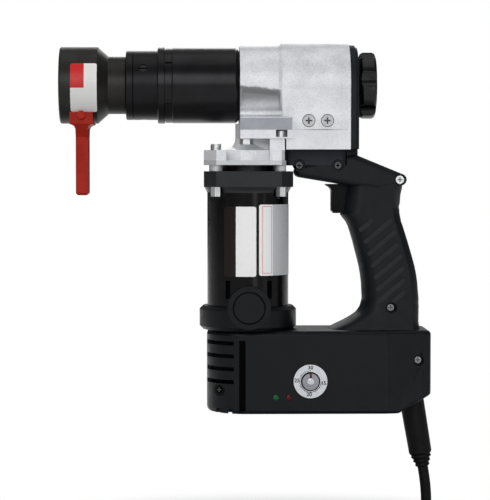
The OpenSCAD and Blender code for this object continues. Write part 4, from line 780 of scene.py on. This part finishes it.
zinc_plate = ground_steel("zinc_plate", (0.66, 0.67, 0.68), 0.34)
zinc_shadow = ground_steel("zinc_shadow", (0.10, 0.10, 0.105), 0.45, 0.8)
zinc_head = ground_steel("zinc_head", (0.44, 0.45, 0.46), 0.36, 0.8)
case_screws = edged("case_screws", zinc_head, width=0.0002)
case_screw_depths = np.abs(face_values(case_screws, "center")[:, 1])
finish_faces(case_screws, zinc_shadow, below_heads(case_screws, case_screw_depths))
for screw_number, screw_place in enumerate(CASE_SCREWS, 1):
    # A thin ring of painted shadow round each countersunk head.
    shadow_rings(f"screw_rim_{screw_number}", screw_place, CASE_SCREW_RADIUS, RIM_WIDTH, CASE_SIDE + TRIM_LIFT)
edged("case_bolts", zinc_plate, width=0.0002)

# Rear cover and selector knob. Both are moulded in black plastic, the knob glossier and fluted for the
# fingers. The selector switch sits inside the cover.
grained_plastic = moulded_plastic("grained_plastic", (0.0050, 0.0062, 0.0084), 0.46, 0.00010)
smooth_plastic = moulded_plastic("smooth_plastic", (0.0010, 0.0012, 0.0015), 0.22, 0.00003, 0.30)
edged("rear_cover", grained_plastic, width=0.0008, segments=3)
edged("selector_knob", smooth_plastic, width=0.0008, segments=3)
coat(grained_plastic, "selector_switch")

# Motor. A gloss black tube with a square flange, bolted up under an alloy spacer with zinc bolts and nuts.
# The armature, field, fan and brushes are inside it, and round caps close the brush holders.
FLANGE_BOTTOM = -0.0950
FLANGE_NORMAL = 0.7
BRUSH_Z = -0.1861
BRUSH_FACE = 0.0440
BRUSH_CAP_RADIUS = 0.0128
CAP_GROOVE = 0.0008

spacer_alloy = cast_alloy("spacer_alloy", (0.49, 0.50, 0.515), (0.55, 0.56, 0.58), 0.44)
gloss_black = material_of("gloss_black", (0.0016, 0.0017, 0.0022), 0.16, specular=0.15)
feed(gloss_black, "Roughness", spread(gloss_black, noise_of(gloss_black, 0.012, 4.0), 0.17, 0.26))
relief(gloss_black, noise_of(gloss_black, 0.0020), 0.12, 0.00006)
flange_sheen_black = moulded_plastic("flange_sheen_black", (0.0090, 0.0105, 0.0135), 0.34, 0.00004, 0.3)
box_plastic = moulded_plastic("box_plastic", (0.0027, 0.0035, 0.0050), 0.36, 0.00008)
copper_wire = ground_steel("copper_wire", (0.55, 0.27, 0.12), 0.38)
laminations = ground_steel("laminations", (0.30, 0.31, 0.32), 0.42)
carbon_block = moulded_plastic("carbon_block", (0.02, 0.02, 0.021), 0.6, 0.0001, 0.3)
spring_wire = ground_steel("spring_wire", (0.52, 0.50, 0.46), 0.28)
edged("motor_spacer", spacer_alloy, width=0.0005)
motor_housing = edged("motor_housing", gloss_black, width=0.0007, segments=3)
# The flange's faces that look sideways take a lighter, rougher black: a painted sheen.
on_flange = face_values(motor_housing, "center")[:, 2] > FLANGE_BOTTOM
finish_faces(motor_housing, flange_sheen_black,
             on_flange & (np.abs(face_values(motor_housing, "normal")[:, 1]) > FLANGE_NORMAL))
edged("motor_bolts", zinc_plate, width=0.0003)
coat(copper_wire, "armature")
coat(laminations, "field_stator")
coat(carbon_block, "carbon_brushes", "cooling_fan")
coat(spring_wire, "brush_springs")
edged("end_bell", box_plastic, width=0.0009, segments=3)
edged("brush_caps", box_plastic, width=0.0006, segments=3)
# A thin ring of painted shade round each brush cap, where its groove lies in shade.
shadow_rings("cap_groove_shade", (MOTOR_X, BRUSH_Z), BRUSH_CAP_RADIUS, CAP_GROOVE, BRUSH_FACE + TRIM_LIFT)

# Motor plates. Two thin glossy films wrap the tube side by side.
# The left one is white with a dark strip along its edge, the right one white and silver with a red frame.
MOTOR_RADIUS = 0.0344
FILM_CORNER = 0.0018
NAME_ANGLES = np.radians((-36.2, 10.2))
NAME_HEIGHTS = (-0.1604, -0.102)
NAME_WHITE = (0.90, 0.90, 0.90)
STRIP_DARK = (0.009, 0.004, 0.0035)
STRIP_X = (0.0, MOTOR_X - MOTOR_RADIUS * math.sin(math.radians(18.5)))
RATING_ANGLES = np.radians((14.1, 99.0))
RATING_HEIGHTS = (-0.1597, -0.1003)
RATING_WHITE = (0.90, 0.90, 0.91)
RATING_SILVER = (0.55, 0.565, 0.59)
SILVER_X = (0.1724, MOTOR_X + 2 * MOTOR_RADIUS)
FRAME_RED = (0.62, 0.10, 0.09)
FRAME_X = (0.1636, 0.1717)
FRAME_Z = (-0.1578, -0.1017)
FRAME_LINE = 0.0004


def motor_film(name, angles, heights, material):
    """A rounded film on the motor tube between two angles from straight ahead and two heights."""
    sheet, faces = rounded_sheet(np.ptp(angles) * MOTOR_RADIUS, np.ptp(heights), FILM_CORNER)
    turn = sheet[:, 0] / MOTOR_RADIUS + np.mean(angles)
    radius = MOTOR_RADIUS + PLATE_LIFT
    points = np.stack((
        MOTOR_X + radius * np.sin(turn), -radius * np.cos(turn), sheet[:, 1] + np.mean(heights)), axis=1)
    mounted(mesh_piece(name, points, faces, material), "tool_body")


def inset(span, margin):
    """A span drawn in by a margin at both ends."""
    return span[0] + margin, span[1] - margin


name_film = material_of("name_film", NAME_WHITE, 0.30, specular=0.25)
feed(name_film, "Base Color", painted(name_film, inside(name_film, "X", *STRIP_X), NAME_WHITE, STRIP_DARK))
feed(name_film, "Roughness", spread(name_film, noise_of(name_film, 0.004, 4.0), 0.24, 0.36))
motor_film("name_plate", NAME_ANGLES, NAME_HEIGHTS, name_film)
rating_film = material_of("silver_film", RATING_WHITE, 0.32, specular=0.25)
frame_outside = block_mask(rating_film, FRAME_X, FRAME_Z)
frame_inside = block_mask(rating_film, inset(FRAME_X, FRAME_LINE), inset(FRAME_Z, FRAME_LINE))
frame_mask = combined(rating_film, "SUBTRACT", frame_outside, frame_inside)
rating_ground = painted(rating_film, inside(rating_film, "X", *SILVER_X), RATING_WHITE, RATING_SILVER)
feed(rating_film, "Base Color", painted(rating_film, frame_mask, rating_ground, FRAME_RED))
feed(rating_film, "Roughness", spread(rating_film, noise_of(rating_film, 0.004, 4.0), 0.26, 0.40))
motor_film("rating_plate", RATING_ANGLES, RATING_HEIGHTS, rating_film)

# Grip. Two moulded halves with raised ribs close round the trigger and its switch, below a rubber isolator
# block. Small zinc screws hold the halves, and two dark ones clamp the arm under the gear case.
RIB_HEIGHTS = (-0.190, -0.100)
RIB_INSIDE = 0.0140
RIB_TOP = 0.0195
RIB_WALL_NORMAL = 0.05
RIB_TOP_NORMAL = 0.99999
BOX_FRONT_SCREW_X = 0.1400
BEAK_SCREW_Z = -0.1000

# The isolator's colour is made lighter to make up for the shade under the case: painted light.
lifted_isolator_rubber = moulded_plastic("lifted_isolator_rubber", (0.0140, 0.0175, 0.0235), 0.50, 0.00010)
rib_top_highlight = moulded_plastic("rib_top_highlight", (0.0066, 0.0086, 0.0122), 0.42, 0.00006, 0.25)
trigger_plastic = moulded_plastic("trigger_plastic", (0.0014, 0.0016, 0.0020), 0.30, 0.00004, 0.10)
shaded_zinc = ground_steel("shaded_zinc", (0.26, 0.265, 0.275), 0.36, 0.8)
socket_steel = ground_steel("socket_steel", (0.09, 0.09, 0.095), 0.34, 0.8)
edged("isolator_block", lifted_isolator_rubber, width=0.0008, segments=3)
for handle_node in ("handle_left", "handle_right"):
    handle = edged(handle_node, grained_plastic, width=0.0003)
    handle_centres = face_values(handle, "center")
    handle_out = np.abs(handle_centres[:, 1])
    handle_tilt = np.abs(face_values(handle, "normal")[:, 1])
    by_ribs = (handle_centres[:, 2] > RIB_HEIGHTS[0]) & (handle_centres[:, 2] < RIB_HEIGHTS[1])
    # Painted shadow darkens the ribs' side walls, and a painted highlight lightens their tops.
    finish_faces(handle, recess_shade, by_ribs & (handle_tilt < RIB_WALL_NORMAL) & (handle_out > RIB_INSIDE))
    finish_faces(handle, rib_top_highlight, by_ribs & (handle_tilt > RIB_TOP_NORMAL) & (handle_out > RIB_TOP))
for screw_node, screw_finish, screw_recess in (
        ("shell_screws", zinc_plate, zinc_shadow), ("clamp_screws", socket_steel, recess_shade)):
    screws = edged(screw_node, screw_finish, width=0.0002)
    screw_centres = face_values(screws, "center")
    # Painted shade: the screws low in the grip, deep in their holes, take a darker zinc, and the box's front
    # screw in its dark hole and every drive recess are painted shade.
    finish_faces(screws, shaded_zinc, screw_centres[:, 2] < BEAK_SCREW_Z)
    finish_faces(screws, recess_shade, screw_centres[:, 0] < BOX_FRONT_SCREW_X)
    finish_faces(screws, screw_recess, below_heads(screws, -screw_centres[:, 1]))
edged("trigger", trigger_plastic, width=0.0008, segments=3)
trigger_spring = edged("trigger_spring", spring_wire, width=0.00005)
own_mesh(trigger_spring)
coat(grained_plastic, "trigger_switch")

# Control box. Two moulded halves with louvres at the front, a flat chamfer behind and the dial on the near
# side. The speed board and the dial's potentiometer are inside.
TAIL_X = 0.2695
TAIL_SLOPE = math.tan(math.radians(3.5))
CORNER_X = 0.2980
CORNER_RADIUS = 0.0096
CORNER_CUTS = 7
WALL_INSIDE = 0.028
GROOVE_X = (0.1400, 0.1560)
GROOVE_FLOOR = 0.0330


def tapered_tail(piece):
    """Moves a box half's side walls inward behind the tail's start: by a straight slope, and from the
    corner's start by a quarter circle too."""
    end_x = max(corner[0] for corner in piece.bound_box)
    cut_places = (TAIL_X, *np.linspace(CORNER_X, end_x, CORNER_CUTS, endpoint=False))
    cut_edges(piece, [((x, 0, 0), (1, 0, 0)) for x in cut_places])
    points = corner_points(piece.data)
    past_tail = np.maximum(points[:, 0] - TAIL_X, 0)
    past_corner = np.clip(points[:, 0] - CORNER_X, 0, CORNER_RADIUS)
    inward = past_tail * TAIL_SLOPE + CORNER_RADIUS - np.sqrt(CORNER_RADIUS ** 2 - past_corner ** 2)
    on_wall = np.abs(points[:, 1]) > WALL_INSIDE
    points[:, 1] -= np.where(on_wall, np.sign(points[:, 1]) * inward, 0)
    move_corners(piece, points)


for box_node in ("box_left", "box_right"):
    box_half = edged(box_node, box_plastic, width=0.0010, segments=3)
    tapered_tail(box_half)
    box_centres = face_values(box_half, "center")
    # The groove's floor is painted shade.
    by_groove = (box_centres[:, 0] > GROOVE_X[0]) & (box_centres[:, 0] < GROOVE_X[1])
    on_floor = np.abs(np.abs(box_centres[:, 1]) - GROOVE_FLOOR) < SKIN_TOLERANCE
    finish_faces(box_half, recess_shade, by_groove & on_floor)
board_green = material_of("board_green", (0.02, 0.12, 0.06), 0.4)
feed(board_green, "Roughness", spread(board_green, noise_of(board_green, 0.003), 0.3, 0.5))
coat(board_green, "control_board")
coat(grained_plastic, "potentiometer")

# Torque dial. A silver scale plate with printed numbers round a small grey knob with a red pointer.
# A green and a red lamp sit to its left, unlit. Profiles give radii in dial radii and depths from a face.
dial_low, dial_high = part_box("dial_plate")
DIAL_X = (dial_low[0] + dial_high[0]) / 2
DIAL_Z = (dial_low[2] + dial_high[2]) / 2
DIAL_RADIUS = (dial_high[0] - dial_low[0]) / 2
DIAL_FACE = dial_low[1]
KNOB_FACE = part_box("dial_knob")[0][1]
KNOB_SLOT_DEPTH = 0.0012
KNOB_WALL_NORMAL = 0.3
POINTER_HALF_WIDTH = 0.0010
BEZEL_PROFILE = (
    (0.602, 0.0004), (0.600, -0.0001), (0.594, -0.0003), (0.576, -0.0003), (0.566, -0.0001), (0.562, 0.0004))
CAP_PROFILE = ((0.215, 0.0002), (0.210, -0.0002), (0.180, -0.0004), (0.100, -0.0005), (0.001, -0.00052))
PRINT_LIFT = 0.00005
DIGIT_HEIGHT = 0.22 * DIAL_RADIUS
DIGIT_SHARE = 0.7
STROKE_GAIN = 0.00010
DIAL_NUMBERS = (("30", 0.0, 0.81), ("25", -0.795, 0.05), ("20", -0.08, -0.77), ("15", 0.77, -0.11))
SCALE_ANGLES = np.radians((90, 355))
SCALE_RADII = (0.612, 0.640)
SCALE_STEPS = 72
SCALE_TICKS = 10
TICK_LENGTH = 0.05
TICK_WIDTH = 0.026


def on_dial(flat):
    """Points of a flat drawing about the dial's middle, in metres, laid on the scale plate."""
    return np.stack((
        DIAL_X + flat[:, 0], np.full(len(flat), DIAL_FACE - PRINT_LIFT), DIAL_Z + flat[:, 1]), axis=1)


def printed_number(word, across, up):
    """A number in plain type as a mesh on the scale plate, set about a point given in dial radii."""
    letters = bpy.data.curves.new("number_" + word, "FONT")
    letters.body = word
    letters.size = DIGIT_HEIGHT / DIGIT_SHARE
    letters.offset = STROKE_GAIN
    letters.align_x = "CENTER"
    letters.align_y = "CENTER"
    lettering = bpy.data.objects.new("lettering", letters)
    scene.collection.objects.link(lettering)
    view = bpy.context.evaluated_depsgraph_get()
    shape = bpy.data.meshes.new_from_object(lettering.evaluated_get(view))
    bpy.data.objects.remove(lettering)
    middle = np.array((across, up)) * DIAL_RADIUS
    shape.vertices.foreach_set("co", on_dial(corner_points(shape)[:, :2] + middle).ravel())
    shape.materials.clear()
    shape.materials.append(print_ink)
    number = bpy.data.objects.new("dial_number_" + word, shape)
    scene.collection.objects.link(number)
    mounted(number, "tool_body")


def printed_strip(inner, outer, low, high, steps):
    """Points and faces of a flat strip round the dial between two radii, in dial radii, and two angles."""
    angle = np.linspace(low, high, steps)
    ring = np.stack((np.cos(angle), np.sin(angle)), axis=1) * DIAL_RADIUS
    step = np.arange(steps - 1)
    faces = np.stack((step, step + steps, step + steps + 1, step + 1), axis=1)
    return on_dial(np.concatenate((ring * inner, ring * outer))), faces


def turned_trim(name, profile, face, material, body):
    """A turned piece about the dial's middle."""
    sized = [(radius * DIAL_RADIUS, face + depth) for radius, depth in profile]
    turned_piece(name, (DIAL_X, DIAL_Z), sized, material, body)


scale_silver = ground_steel("scale_silver", (0.72, 0.75, 0.79), 0.42, 0.1)
bezel_silver = ground_steel("bezel_silver", (0.93, 0.94, 0.95), 0.30, 0.1)
cap_silver = ground_steel("cap_silver", (0.62, 0.64, 0.67), 0.30, 0.7)
grey_plastic = moulded_plastic("grey_plastic", (0.30, 0.31, 0.34), 0.38, 0.00004, 0.4)
pointer_red = moulded_plastic("pointer_red", (0.085, 0.018, 0.015), 0.40, 0.00003, 0.3)
print_ink = moulded_plastic("print_ink", (0.022, 0.022, 0.024), 0.5, 0.00001)
dial_plate = edged("dial_plate", scale_silver, width=0.0003)
# The plate's faces behind its front face, round the knob, are painted shade.
finish_faces(dial_plate, recess_shade, face_values(dial_plate, "center")[:, 1] > DIAL_FACE + HEAD_TOLERANCE)
dial_knob = edged("dial_knob", grey_plastic, width=0.0007, segments=3)
knob_centres = face_values(dial_knob, "center")
knob_depths = knob_centres[:, 1] - KNOB_FACE
in_slot = (knob_depths > HEAD_TOLERANCE) & (knob_depths < KNOB_SLOT_DEPTH)
# The knob's side walls are painted shade, a dark ring round it.
finish_faces(dial_knob, recess_shade, np.abs(face_values(dial_knob, "normal")[:, 1]) < KNOB_WALL_NORMAL)
finish_faces(dial_knob, pointer_red, in_slot & (np.abs(knob_centres[:, 0] - DIAL_X) < POINTER_HALF_WIDTH))
for dial_number in DIAL_NUMBERS:
    printed_number(*dial_number)
strips = [printed_strip(*SCALE_RADII, *SCALE_ANGLES, SCALE_STEPS)]
half_tick = TICK_WIDTH / SCALE_RADII[1] / 2
for tick_angle in np.linspace(*SCALE_ANGLES, SCALE_TICKS):
    strips.append(printed_strip(
        SCALE_RADII[1], SCALE_RADII[1] + TICK_LENGTH, tick_angle - half_tick, tick_angle + half_tick, 2))
strip_points, strip_faces = zip(*strips)
strip_starts = np.cumsum([0] + [len(points) for points in strip_points])
scale_faces = np.concatenate([faces + start for faces, start in zip(strip_faces, strip_starts)])
scale_print = mesh_piece("scale_print", np.concatenate(strip_points), scale_faces, print_ink)
mounted(scale_print, "tool_body")
turned_trim("dial_bezel", BEZEL_PROFILE, DIAL_FACE, bezel_silver, "tool_body")
turned_trim("dial_cap", CAP_PROFILE, KNOB_FACE, cap_silver, "torque_dial")


def lamp_lens(name, colour):
    """A tinted plastic lens: smooth, with a slight mottle in its colour."""
    lens = material_of(name, colour, 0.16, specular=0.2)
    feed(lens, "Base Color", tint(lens, noise_of(lens, 0.0012), shaded(colour, 0.7), colour))
    return lens


edged("green_led", lamp_lens("green_lens", (0.004, 0.100, 0.028)), width=0.0003, segments=3)
edged("red_led", lamp_lens("red_lens", (0.080, 0.002, 0.004)), width=0.0003, segments=3)

# Cord guard, tie and plug. The guard is a tapered rubber sleeve ribbed at its end, where the cord leaves the
# box. The tie holds the coil, and the plug has two pins.
coat(cord_rubber, "cord_tie")
edged("cord_guard", cord_rubber, width=0.0004)
edged("power_plug", cord_rubber, width=0.0005)
